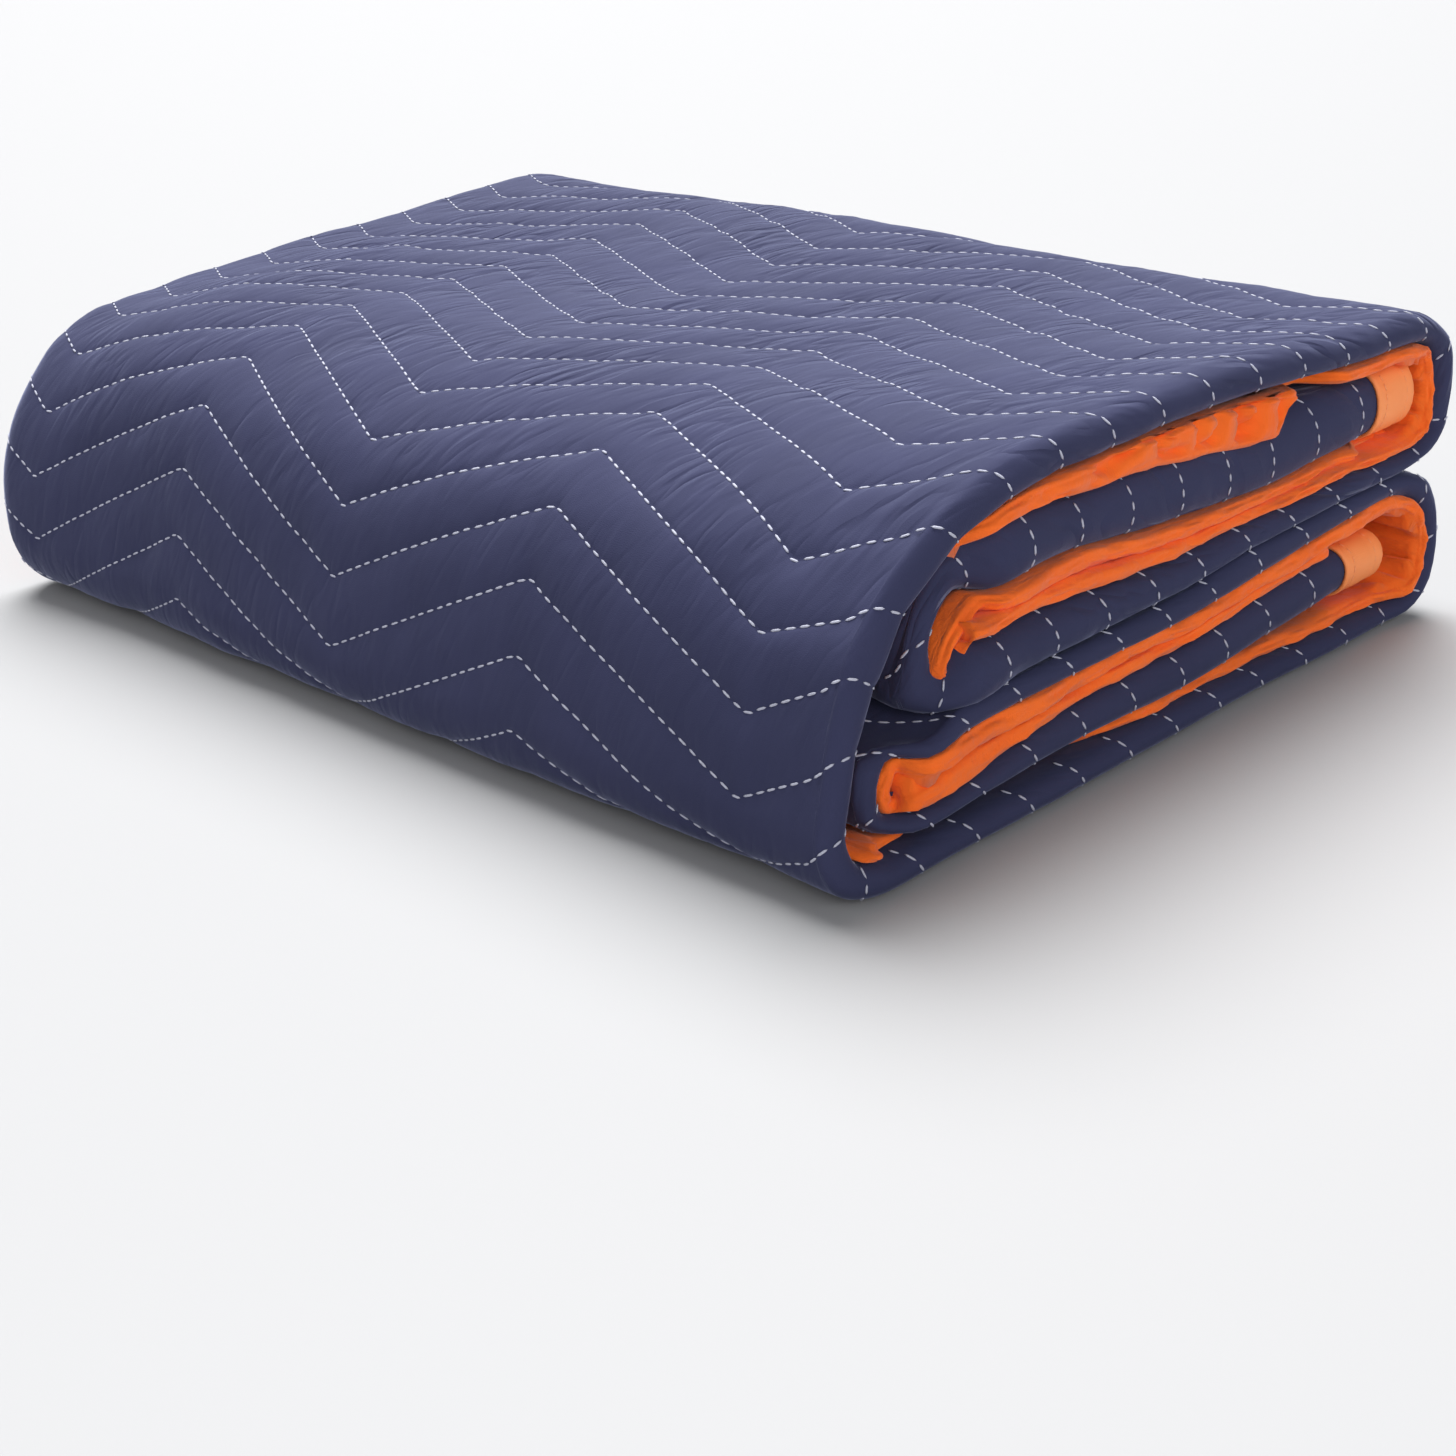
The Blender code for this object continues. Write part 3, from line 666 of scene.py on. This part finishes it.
def buildBacking():
    q = np.linspace(0, route.end, int(route.end / backing["row"]))[:, None]
    at = route.at(q)
    m = measures(at, q)
    step, half = at["step"], at["half"]
    columns = []

    def add(x, n, w, shift=0.0):
        columns.append((place(q, x, n) + shift, np.broadcast_to(w, q.shape)))

    farEdge = m["farEdge"]
    radius = half * 0.5
    for angle in np.linspace(math.pi * 0.6, math.pi * 1.5, 9):  # rolled over the far edge
        x = farEdge + 0.0018 + radius * math.cos(angle)
        add(x, step - half * 0.5 + radius * math.sin(angle) + droop(x, farEdge), 0.003)
    for t in np.linspace(0, 1, 15)[1:]:
        x = farEdge + 0.0012 + (m["nearFold"] - farEdge - 0.0012) * t ** 0.6
        add(x, step - half + droop(x, farEdge) + nearRamp(x, m) * at["outer"], 0.01 + t)
    for angle in (math.pi / 4, 0, -math.pi / 4):
        inner = m["foldRadius"] - half
        add(m["nearFold"] + inner * math.cos(angle), m["foldN"] + inner * math.sin(angle), 1.0)
    for t in np.linspace(0, 1, 16):
        x = m["nearFold"] + (m["farFold"] - m["nearFold"]) * t ** 1.7
        add(x, half + nearRamp(x, m) * at["inner"], 1.0 + t)
    for angle in np.linspace(math.pi / 2, math.pi * 1.5, 11)[1:]:
        outer = step / 2 + half + 0.0002 + 0.0002 * edgeNoise(q, 0.008, 41)
        add(m["farFold"] + outer * math.cos(angle), -step / 2 + outer * math.sin(angle), 2.0)
    nearEdge = m["nearEdge"]
    inside = nearEdge - backing["hemZone"]
    for t in np.linspace(0, 1, 14)[1:]:
        add(m["farFold"] + (inside - m["farFold"]) * t, -step - half, 2.0 + t)
    turn = np.abs(np.gradient(np.unwrap(np.arctan2(at["nz"][:, 0], at["ny"][:, 0])), at["s"][:, 0]))[:, None]
    # the room inside a bend, which the hem wrinkles into
    room = np.where(turn > backing["tight"], 0.45 * (1 / np.maximum(turn, 1) - step - half), 0)
    room = np.clip(room, 0, backing["pocket"])
    for back in np.linspace(0.069, 0.0, 27):
        x = nearEdge - backing["edgeIn"] - back
        w = 3.1 - back
        ramp = smooth(1 - back / 0.055)
        fine = lattice(q / 0.011, w / 0.016, 42) * 0.6 + lattice(q / 0.005, w / 0.009, 43) * 0.4
        deep = np.abs(lattice(q / 0.008, w / 0.040, 44)) * 1.3
        bulge = ramp * backing["wrinkle"] * fine * 0.5 + room * ramp * deep
        bulge = np.clip(bulge, -0.0004, np.maximum(room, 0.0004))
        bulge = bulge + hemHang(q) * smooth(1 - back / 0.020)
        add(x, -step - half - bulge + hemShift(q, x, nearEdge), w, hookShift(q, x, nearEdge))
    roll = hemRadius(q)
    hang = hemHang(q)
    for i, angle in enumerate(np.linspace(-math.pi / 2, math.pi / 2, 18)[1:]):  # rolled round the near edge
        w = 3.1 + 0.0007 * (i + 1)
        fine = lattice(q / 0.0075, i / 3.0, 45) * 0.7 + lattice(q / 0.0038, i / 2.0, 46) * 0.4
        wrinkle = backing["wrinkle"] * fine
        upper = rise(math.sin(angle), -0.93, 0.30)
        crumple = np.abs(lattice(q / 0.0105, i / 9.0, 47)) + 0.5 * np.abs(lattice(q / 0.0045, i / 5.0, 48))
        folds = -backing["foldDeep"] * hang / hemSag["hang"] * upper * fall(crumple, 0.62, 0.40)
        outer = roll + wrinkle * math.cos(angle)
        x = nearEdge - backing["edgeIn"] + (outer * 1.1 + folds) * math.cos(angle)
        n = -step + (outer + hang * (angle < 0)) * math.sin(angle)
        add(x, n + hemShift(q, x, nearEdge), w, hookShift(q, x, nearEdge))
    for back, height in ((0.0025, 1.0), (0.0055, 1.0), (backing["lipNear"], 1.0), (backing["lipNear"], 0.5)):
        x = nearEdge - back
        add(x, -step + half * height + hemShift(q, x, nearEdge), 3.12 + back, hookShift(q, x, nearEdge))
    points = np.stack([p for p, _ in columns], axis=1)[:, :, 0]
    w = np.concatenate([w for _, w in columns], axis=1)
    uv = np.stack([w * 0.44, np.broadcast_to(q, w.shape)], axis=-1)
    made = gridMesh("backing_cloth", points, uv)
    row = int(np.argmin(np.abs(q[:, 0] - route.topStart - 0.1)))
    faceOutward(made, row, 60, (0, 0, -1), points.shape[1])  # column 60 lies under the third layer
    return made, points


backingCloth, backingPoints = buildBacking()
print("backing", backingPoints.shape, len(backingCloth.data.polygons) * 2, "triangles")


# the two bindings
tape = {
    "thick": 0.0009,
    "width": 0.0190,
    "gap": 0.0002,  # between tape and cloth
    "round": 0.0450,  # once round the folded strip
    "rowsAt": (0.0035, 0.0145),
    "rowSink": 0.0003,
    "rowWidth": 0.0012,
    "stitchLift": 0.0001,
    "seen": (48, 76),  # the points of a row near the fold that shows, which get stitches
    "stitch": {"Period": 0.0034, "Length": 0.0026, "Width": 0.0005, "Height": 0.0004, "Seed": 6},
}


def tapeLine(q, off):
    # across the three layers, off from their middle toward the navy side
    at = route.at(q)
    m = measures(at, q)
    step = at["step"]
    points = []
    for t in np.linspace(0, 1, 60):
        x = m["farEdge"] - 0.0012 + (m["nearFold"] - m["farEdge"] + 0.0012) * t
        points.append((x, step + off + droop(x, m["farEdge"]) + nearRamp(x, m) * at["outer"]))
    for angle in np.linspace(math.pi / 2, -math.pi / 2, 13)[1:]:
        radius = max(m["foldRadius"] + off, 0.0002)
        points.append((m["nearFold"] + radius * math.cos(angle), m["foldN"] + radius * math.sin(angle)))
    for t in np.linspace(0, 1, 50)[1:]:
        x = m["nearFold"] + (m["farFold"] - m["nearFold"]) * t
        points.append((x, -off + nearRamp(x, m) * at["inner"]))
    for angle in np.linspace(math.pi / 2, math.pi * 1.5, 13)[1:]:
        radius = max(step / 2 - off, 0.0002)
        points.append((m["farFold"] + radius * math.cos(angle), -step / 2 + radius * math.sin(angle)))
    for t in np.linspace(0, 1, 50)[1:]:
        x = m["farFold"] + (m["nearEdge"] + 0.0010 - m["farFold"]) * t
        points.append((x, -step + off + hemShift(q, x, m["nearEdge"])))
    return points


def buildTape(name, firstEnd):
    inside = pack["boundHalf"] + tape["gap"]
    outside = inside + tape["thick"]
    profile = []  # along the strip from the cut end, and off from the middle
    for t in np.linspace(0, 1, 10):
        along = tape["width"] * (1 - t)
        sunk = max(math.exp(-((along - row) / tape["rowWidth"]) ** 2) for row in tape["rowsAt"])
        profile.append((along, outside - tape["rowSink"] * sunk))
    for angle in np.linspace(math.pi / 2, -math.pi / 2, 9)[1:-1]:
        profile.append((-0.0011 * math.cos(angle), outside * math.sin(angle)))
    profile += [(along, -off) for along, off in reversed(profile[:10])]
    profile += [(tape["width"], -inside), (0.0, -inside), (0.0, inside), (tape["width"], inside)]
    rings = []
    for along, off in profile:
        s = max(along, 0.0) if firstEnd else route.s[-1] - max(along, 0.0)
        q = float(np.interp(s, route.s, route.q))
        line = np.array(tapeLine(q, off))
        at = route.at(q)
        beyond = min(along, 0.0) * (1 if firstEnd else -1)
        points = place(np.full(len(line), q), line[:, 0], line[:, 1])
        points[:, 1] -= at["nz"] * beyond
        points[:, 2] += at["ny"] * beyond
        rings.append(points)
    rings.append(rings[0])
    points = np.stack(rings, axis=1)
    run = np.concatenate([[0], np.cumsum(np.linalg.norm(np.diff(points[:, 0], axis=0), axis=1))])
    uv = np.stack([np.broadcast_to(run[:, None], points.shape[:2]),
                   np.broadcast_to(np.linspace(0, tape["round"], points.shape[1]), points.shape[:2])], axis=-1)
    made = gridMesh(name, points, uv)
    bm = bmesh.new()
    bm.from_mesh(made.data)
    bmesh.ops.remove_doubles(bm, verts=bm.verts, dist=1e-6)  # closes the strip round its section
    bmesh.ops.holes_fill(bm, edges=bm.edges, sides=0)
    bmesh.ops.recalc_face_normals(bm, faces=bm.faces)
    bm.to_mesh(made.data)
    bm.free()
    made.data.shade_smooth()
    return made


tapeUpper = buildTape("binding_upper_tape", True)
tapeLower = buildTape("binding_lower_tape", False)
print("tapes built")


# stitches: lines on the cloth, then a short raised thread at every step along them
stitch = {
    "sizes": {"Period": 0.0049, "Length": 0.0037, "Width": 0.00092, "Height": 0.00060, "Seed": 5},
    "lift": 0.00020,
    "farX": -0.2235,
    "guideStep": 0.0020,
    "clear": 0.024,  # no row nearer to the bound ends
}


def stitchLines():
    lines = []
    base = route.firstRow - zigzagRise / 2
    low = math.floor((0.03 - base) / pack["rowPitch"])
    high = math.ceil((route.end - 0.03 - base) / pack["rowPitch"])
    for k in range(low, high + 1):
        row = base + k * pack["rowPitch"]
        if not stitch["clear"] < row < route.end - stitch["clear"]:
            continue
        outside = route.shownStart - 0.035 < row  # inside the roll, only the near end shows
        startX = stitch["farX"] if outside else pack["troughX"] - 0.002
        xs = np.arange(startX, pack["foldX"], stitch["guideStep"])
        corners = [pack["troughX"] - i * zigzagHalf for i in range(5)]
        xs = np.unique(np.concatenate([xs, [c for c in corners if c > startX]]))
        q = slanted(np.full_like(xs, row), xs - pack["troughX"])
        at = route.at(q)
        m = measures(at, q)
        keep = xs < m["nearFold"] - 0.0005
        w = xs - pack["troughX"]
        n = at["step"] + navyLift(q, w, np.zeros_like(w), 1.0) + droop(xs, m["farEdge"]) + swell(q, w)
        n = n + nearRamp(xs, m) * at["outer"]
        up = np.stack([np.zeros_like(xs), at["ny"], at["nz"]], axis=-1)
        points = list(zip(place(q, xs, n + stitch["lift"])[keep], up[keep]))
        for angle in np.linspace(math.pi / 2, -math.pi / 2, 10):
            wFold = foldW + (math.pi / 2 - angle) * face["foldRun"]
            qFold = slanted(np.array([row]), np.array([wFold]))
            lift = navyLift(qFold, wFold, np.zeros(1), 1.0)
            x, n = nearFoldPoints(qFold, angle, lift, stitch["lift"])
            atFold = route.at(qFold)
            ny, nz = float(atFold["ny"][0]), float(atFold["nz"][0])
            up = (math.cos(angle), ny * math.sin(angle), nz * math.sin(angle))
            points.append((place(qFold, x, n)[0], np.array(up)))
        lines.append(points)
    return lines


def lineMesh(name, lines):
    # bare edges, with the way out of the cloth kept at each point
    mesh = bpy.data.meshes.new(name)
    verts, edges, ups = [], [], []
    for line in lines:
        start = len(verts)
        verts += [tuple(p) for p, _ in line]
        ups += [tuple(u) for _, u in line]
        edges += [(start + i, start + i + 1) for i in range(len(line) - 1)]
    mesh.from_pydata(verts, edges, [])
    attribute = mesh.attributes.new("up", "FLOAT_VECTOR", "POINT")
    attribute.data.foreach_set("vector", np.array(ups, np.float32).reshape(-1))
    return linked(name, mesh)


def newNode(tree, kind, settings):
    made = tree.nodes.new(kind)
    for key, value in (settings or {}).items():
        setattr(made, key, value)
    return made


def socketOf(node, key):
    # i0, i1 and so on are a socket's number, and anything else is its name
    return node.inputs[int(key[1:])] if key[0] == "i" and key[1:].isdigit() else node.inputs[key]


class NodeTree:
    # builds a geometry tree; a value in sockets is a number or another node's output
    def __init__(self, name, inputs):
        self.tree = bpy.data.node_groups.new(name, "GeometryNodeTree")
        self.tree.interface.new_socket("Geometry", in_out="INPUT", socket_type="NodeSocketGeometry")
        self.ids = {}
        for label, value in inputs.items():
            kind = "NodeSocketFloat" if isinstance(value, float) else "NodeSocketInt"
            socket = self.tree.interface.new_socket(label, in_out="INPUT", socket_type=kind)
            socket.default_value = value
            self.ids[label] = socket.identifier
        self.tree.interface.new_socket("Geometry", in_out="OUTPUT", socket_type="NodeSocketGeometry")
        self.input = self.tree.nodes.new("NodeGroupInput")

    def node(self, kind, settings=None, out=0, **sockets):
        made = newNode(self.tree, kind, settings)
        for key, value in sockets.items():
            if hasattr(value, "is_output"):
                self.tree.links.new(value, socketOf(made, key))
            else:
                socketOf(made, key).default_value = value
        return made.outputs[out]

    def finish(self, geometry):
        output = self.tree.nodes.new("NodeGroupOutput")
        self.tree.links.new(geometry, output.inputs[0])


def stitchTree(material, sizes):
    t = NodeTree("stitches", sizes)
    given = t.input.outputs
    curve = t.node("GeometryNodeMeshToCurve", Mesh=given["Geometry"])
    spaced = t.node("GeometryNodeResampleCurve", {"mode": "LENGTH"}, Curve=curve, Length=given["Period"])
    up = t.node("GeometryNodeInputNamedAttribute", {"data_type": "FLOAT_VECTOR"}, Name="up")
    tangent = t.node("GeometryNodeInputTangent")
    along = t.node("FunctionNodeAlignRotationToVector", {"axis": "X"}, Vector=tangent)
    turned = t.node("FunctionNodeAlignRotationToVector", {"axis": "Z", "pivot_axis": "X"},
                    Rotation=along, Vector=up)
    ball = t.node("GeometryNodeMeshUVSphere", Segments=6, Rings=3, Radius=0.5)
    size = t.node("ShaderNodeCombineXYZ", X=given["Width"], Y=given["Width"], Z=given["Length"])
    strand = t.node("GeometryNodeTransform", Geometry=ball, Scale=size)
    lying = t.node("GeometryNodeTransform", Geometry=strand, Rotation=(0.0, math.pi / 2, 0.0))
    low = t.node("ShaderNodeMath", {"operation": "DIVIDE"}, i0=given["Height"], i1=given["Width"])
    flat = t.node("ShaderNodeCombineXYZ", X=1.0, Y=1.0, Z=low)
    lyingFlat = t.node("GeometryNodeTransform", Geometry=lying, Scale=flat)
    vary = t.node("FunctionNodeRandomValue", {"data_type": "FLOAT"}, out=1,
                  i2=0.86, i3=1.10, Seed=given["Seed"])
    scale = t.node("ShaderNodeCombineXYZ", X=vary, Y=1.0, Z=1.0)
    placed = t.node("GeometryNodeInstanceOnPoints", Points=spaced, Instance=lyingFlat,
                    Rotation=turned, Scale=scale)
    real = t.node("GeometryNodeRealizeInstances", Geometry=placed)
    smoothed = t.node("GeometryNodeSetShadeSmooth", Geometry=real)
    final = t.node("GeometryNodeSetMaterial", Geometry=smoothed, Material=material)
    t.finish(final)
    return t


class Value:
    # a shader socket that sums and products can be written with
    def __init__(self, shader, socket):
        self.shader, self.socket = shader, socket

    def math(self, operation, *others):
        return self.shader.math(operation, self, *others)

    def __add__(self, other):
        return self.math("ADD", other)

    def __mul__(self, other):
        return self.math("MULTIPLY", other)

    def __sub__(self, other):
        return self.math("SUBTRACT", other)

    def __rsub__(self, other):
        return self.shader.math("SUBTRACT", other, self)

    __radd__, __rmul__ = __add__, __mul__


class Shader:
    def __init__(self, name):
        self.material = bpy.data.materials.new(name)
        self.material.use_nodes = True
        self.tree = self.material.node_tree
        self.main = self.tree.nodes["Principled BSDF"]

    def node(self, kind, settings=None, out=0, **sockets):
        made = newNode(self.tree, kind, settings)
        for key, value in sockets.items():
            self.fill(socketOf(made, key), value)
        return Value(self, made.outputs[out])

    def fill(self, socket, value):
        if isinstance(value, Value):
            self.tree.links.new(value.socket, socket)
        else:
            socket.default_value = value

    def math(self, operation, *values):
        return self.node("ShaderNodeMath", {"operation": operation},
                         **{f"i{i}": value for i, value in enumerate(values)})

    def mix(self, share, a, b):
        return self.node("ShaderNodeMix", {"data_type": "RGBA"}, out=2, i0=share, i6=a, i7=b)

    def uv(self):
        return self.node("ShaderNodeUVMap", {"uv_map": "cloth"})

    def noise(self, scale, stretch=(1, 1, 1), turn=0.0, detail=3.0, roughness=0.55):
        # stretched first, then turned, on the cloth's own UV in metres
        vector = self.node("ShaderNodeMapping", {"vector_type": "TEXTURE"}, Vector=self.uv(),
                           Rotation=(0, 0, turn), Scale=tuple(1 / part for part in stretch))
        return self.node("ShaderNodeTexNoise", Vector=vector, Scale=scale, Detail=detail, Roughness=roughness)

    def bump(self, height, strength, distance):
        return self.node("ShaderNodeBump", Height=height, Strength=strength, Distance=distance)

    def set(self, **inputs):
        for key, value in inputs.items():
            self.fill(self.main.inputs[key.replace("_", " ")], value)
        return self.material


navy = {
    "dark": (0.024, 0.027, 0.064, 1),
    "light": (0.041, 0.044, 0.100, 1),
    "weave": (0.056, 0.060, 0.128, 1),
    "sheen": (0.62, 0.68, 1.0, 1),
    "crinkle": 0.22,
    "drag": 0.38,
    "dragAll": 0.03,
    "soft": 0.45,
    "weaveRelief": 0.03,
    "bumpDepth": 0.0036,
    "frontShare": 0.15,  # of the creases, down the round front
    "frontFrom": 0.20,
    "frontTo": 0.30,
}


def navyMaterial():
    s = Shader("navy_fabric")
    crinkle = s.noise(120.0, (1.0, 0.16, 1.0), detail=2.0, roughness=0.45)  # long creases down the strip
    drag = s.noise(95.0, (1.0, 0.26, 1.0), turn=0.35, detail=2.0, roughness=0.45)
    drag = (1 - (drag * 2 - 1).math("ABSOLUTE") * 4.5).math("MAXIMUM", 0)  # narrow creases
    soft = s.noise(30.0, (1.0, 0.7, 1.0), detail=3.0)
    patch = (s.noise(24.0, detail=2.0) * 4 - 1.7).math("MAXIMUM", 0)  # where the creases lie
    down = s.node("ShaderNodeSeparateXYZ", out=1, Vector=s.uv())
    onTop = s.node("ShaderNodeMapRange", i0=down, i1=route.topStart + navy["frontFrom"],
                   i2=route.topStart + navy["frontTo"], i3=1.0, i4=navy["frontShare"])
    weave = s.noise(2600.0, (1.0, 1.0, 1.0), detail=1.0)
    height = (crinkle * navy["crinkle"] - drag * navy["drag"] * patch) * onTop - drag * navy["dragAll"]
    height = height + soft * navy["soft"] + weave * navy["weaveRelief"]
    colour = s.mix(soft * 0.7 + crinkle * 0.3, navy["dark"], navy["light"])
    colour = s.mix(weave * 0.25, colour, navy["weave"])
    normal = s.bump(height, 0.80, navy["bumpDepth"])
    return s.set(Base_Color=colour, Roughness=0.82 + soft * 0.08, Normal=normal, Specular_IOR_Level=0.14,
                 Sheen_Weight=0.35, Sheen_Roughness=0.30, Sheen_Tint=navy["sheen"])


orange = {"dark": (0.84, 0.105, 0.006, 1), "light": (1.0, 0.190, 0.016, 1), "bumpDepth": 0.0032}


def orangeMaterial():
    s = Shader("orange_fabric")
    crumple = s.noise(95.0, (1.0, 0.45, 1.0), detail=4.0, roughness=0.6)
    soft = s.noise(30.0, detail=3.0)
    weave = s.noise(2600.0, detail=1.0)
    colour = s.mix(soft * 0.6 + crumple * 0.4, orange["dark"], orange["light"])
    normal = s.bump(crumple * 0.9 + soft * 0.4 + weave * 0.05, 1.0, orange["bumpDepth"])
    return s.set(Base_Color=colour, Roughness=0.78 + crumple * 0.1, Normal=normal,
                 Sheen_Weight=0.15, Specular_IOR_Level=0.3)


peach = {"dark": (0.94, 0.25, 0.062, 1), "light": (1.0, 0.35, 0.112, 1), "bumpDepth": 0.0010, "ribs": 900.0}


def tapeMaterial():
    s = Shader("orange_tape")
    soft = s.noise(60.0, detail=3.0)
    rib = s.node("ShaderNodeTexWave", {"wave_type": "BANDS", "bands_direction": "Y"},
                 Vector=s.uv(), Scale=peach["ribs"], Distortion=0.4)
    colour = s.mix(soft, peach["dark"], peach["light"])
    normal = s.bump(rib * 0.15 + soft * 0.6, 0.5, peach["bumpDepth"])
    return s.set(Base_Color=colour, Roughness=0.46 + soft * 0.12, Normal=normal, Specular_IOR_Level=0.45)


thread = {
    "pale": ((0.36, 0.37, 0.47, 1), (0.50, 0.51, 0.60, 1)),
    "orange": ((0.80, 0.25, 0.09, 1), (0.95, 0.42, 0.20, 1)),
}


def threadMaterial(name, low, high):
    s = Shader(name)
    where = s.node("ShaderNodeTexCoord", out=3)
    noise = s.node("ShaderNodeTexNoise", Vector=where, Scale=900.0, Detail=2.0)
    return s.set(Base_Color=s.mix(noise, low, high), Roughness=0.6 + noise * 0.1,
                 Normal=s.bump(noise, 0.4, 0.0002))


navyFabric, orangeFabric, orangeTape = navyMaterial(), orangeMaterial(), tapeMaterial()
paleThread = threadMaterial("pale_thread", *thread["pale"])
orangeThread = threadMaterial("orange_thread", *thread["orange"])
faceCloth.data.materials.append(navyFabric)
backingCloth.data.materials.append(orangeFabric)
tapeUpper.data.materials.append(orangeTape)
tapeLower.data.materials.append(orangeTape)
print("materials made")


def sewn(name, lines, material, sizes):
    guide = lineMesh(name + "_guide", lines)
    t = stitchTree(material, sizes)
    modifier = guide.modifiers.new("stitches", "NODES")
    modifier.node_group = t.tree
    for label, value in sizes.items():
        modifier[t.ids[label]] = value
    bpy.context.view_layer.update()
    evaluated = guide.evaluated_get(bpy.context.evaluated_depsgraph_get())
    mesh = bpy.data.meshes.new_from_object(evaluated)
    guide.modifiers.clear()
    bpy.data.objects.remove(guide)
    return linked(name, mesh)


quiltLines = stitchLines()
quiltStitches = sewn("quilting_stitches", quiltLines, paleThread, stitch["sizes"])
print("quilting stitches", len(quiltLines), "rows", len(quiltStitches.data.polygons), "faces")


def tapeStitchLines(firstEnd):
    lines = []
    off = pack["boundHalf"] + tape["gap"] + tape["thick"] - tape["rowSink"] + tape["stitchLift"]
    first, last = tape["seen"]
    for along in tape["rowsAt"]:
        s = along if firstEnd else route.s[-1] - along
        q = float(np.interp(s, route.s, route.q))
        line = np.array(tapeLine(q, off))
        points = place(np.full(len(line), q), line[:, 0], line[:, 1])
        at = route.at(q)
        m = measures(at, q)
        ups = []  # straight out from the middle of the near fold
        for x, n in line[first:last]:
            outX, outN = max(x - float(m["nearFold"]), 0.0), n - float(m["foldN"])
            length = math.hypot(outX, outN)
            ups.append((outX / length, float(at["ny"]) * outN / length, float(at["nz"]) * outN / length))
        lines.append(list(zip(points[first:last], np.array(ups))))
    return lines


tapeLines = tapeStitchLines(True) + tapeStitchLines(False)
tapeSewing = sewn("binding_stitches", tapeLines, orangeThread, tape["stitch"])
print("binding stitches", len(tapeSewing.data.polygons), "faces")

# every piece rides on the root body, and the CAD's face, backing and two bindings are hidden
for piece in (faceCloth, backingCloth, tapeUpper, tapeLower, quiltStitches, tapeSewing):
    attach(piece, "root")
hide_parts("quilted_face")
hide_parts("backing")
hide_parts("end_binding_upper")
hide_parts("end_binding_lower")

studio = {
    "floorSize": 60,
    "floorDown": 0.0003,
    "floorColour": (0.36, 0.36, 0.365, 1),
    "world": (0.93, 0.95, 1.0, 1),
    "worldStrength": 0.25,
    # name: where it shines from, angle across it in degrees, strength
    "suns": {
        "over": ((-0.45, 0.40, 1.0), 50, 6.4),
        "front": ((-0.55, -1.0, 0.60), 50, 0.45),
        "side": ((1.0, -0.45, 0.45), 60, 1.6),
    },
}
camera = {
    "place": (0.5834, -0.5318, 0.2823),
    "lens": 53.963,
    "azimuth": 46.53,
    "elevation": 23.22,
    "roll": -3.33,
}


def layFloor():
    bm = bmesh.new()
    bmesh.ops.create_grid(bm, x_segments=1, y_segments=1, size=studio["floorSize"])
    mesh = bpy.data.meshes.new("floor")
    bm.to_mesh(mesh)
    bm.free()
    floor = linked("floor", mesh)
    floor.location.z = -studio["floorDown"]
    s = Shader("floor_paint")
    mesh.materials.append(s.set(Base_Color=studio["floorColour"], Roughness=0.7))


def lightStudio():
    world = bpy.data.worlds.new("studio")
    world.use_nodes = True
    background = world.node_tree.nodes["Background"]
    background.inputs["Color"].default_value = studio["world"]
    background.inputs["Strength"].default_value = studio["worldStrength"]
    bpy.context.scene.world = world
    for name, (where, angle, strength) in studio["suns"].items():
        light = bpy.data.lights.new(name, "SUN")
        light.angle, light.energy = math.radians(angle), strength
        linked(name, light).rotation_euler = (-Vector(where)).to_track_quat("-Z", "Y").to_euler()


def placeCamera():
    lens = bpy.data.cameras.new("camera")
    lens.lens, lens.sensor_width = camera["lens"], 36
    eye = linked("camera", lens)
    turn = (Matrix.Rotation(math.radians(camera["azimuth"]), 4, "Z")
            @ Matrix.Rotation(math.radians(90 - camera["elevation"]), 4, "X")
            @ Matrix.Rotation(math.radians(camera["roll"]), 4, "Z"))
    eye.matrix_world = Matrix.Translation(camera["place"]) @ turn
    bpy.context.scene.camera = eye
    bpy.context.scene.view_settings.view_transform = "Standard"


layFloor()
lightStudio()
placeCamera()
print("studio built")
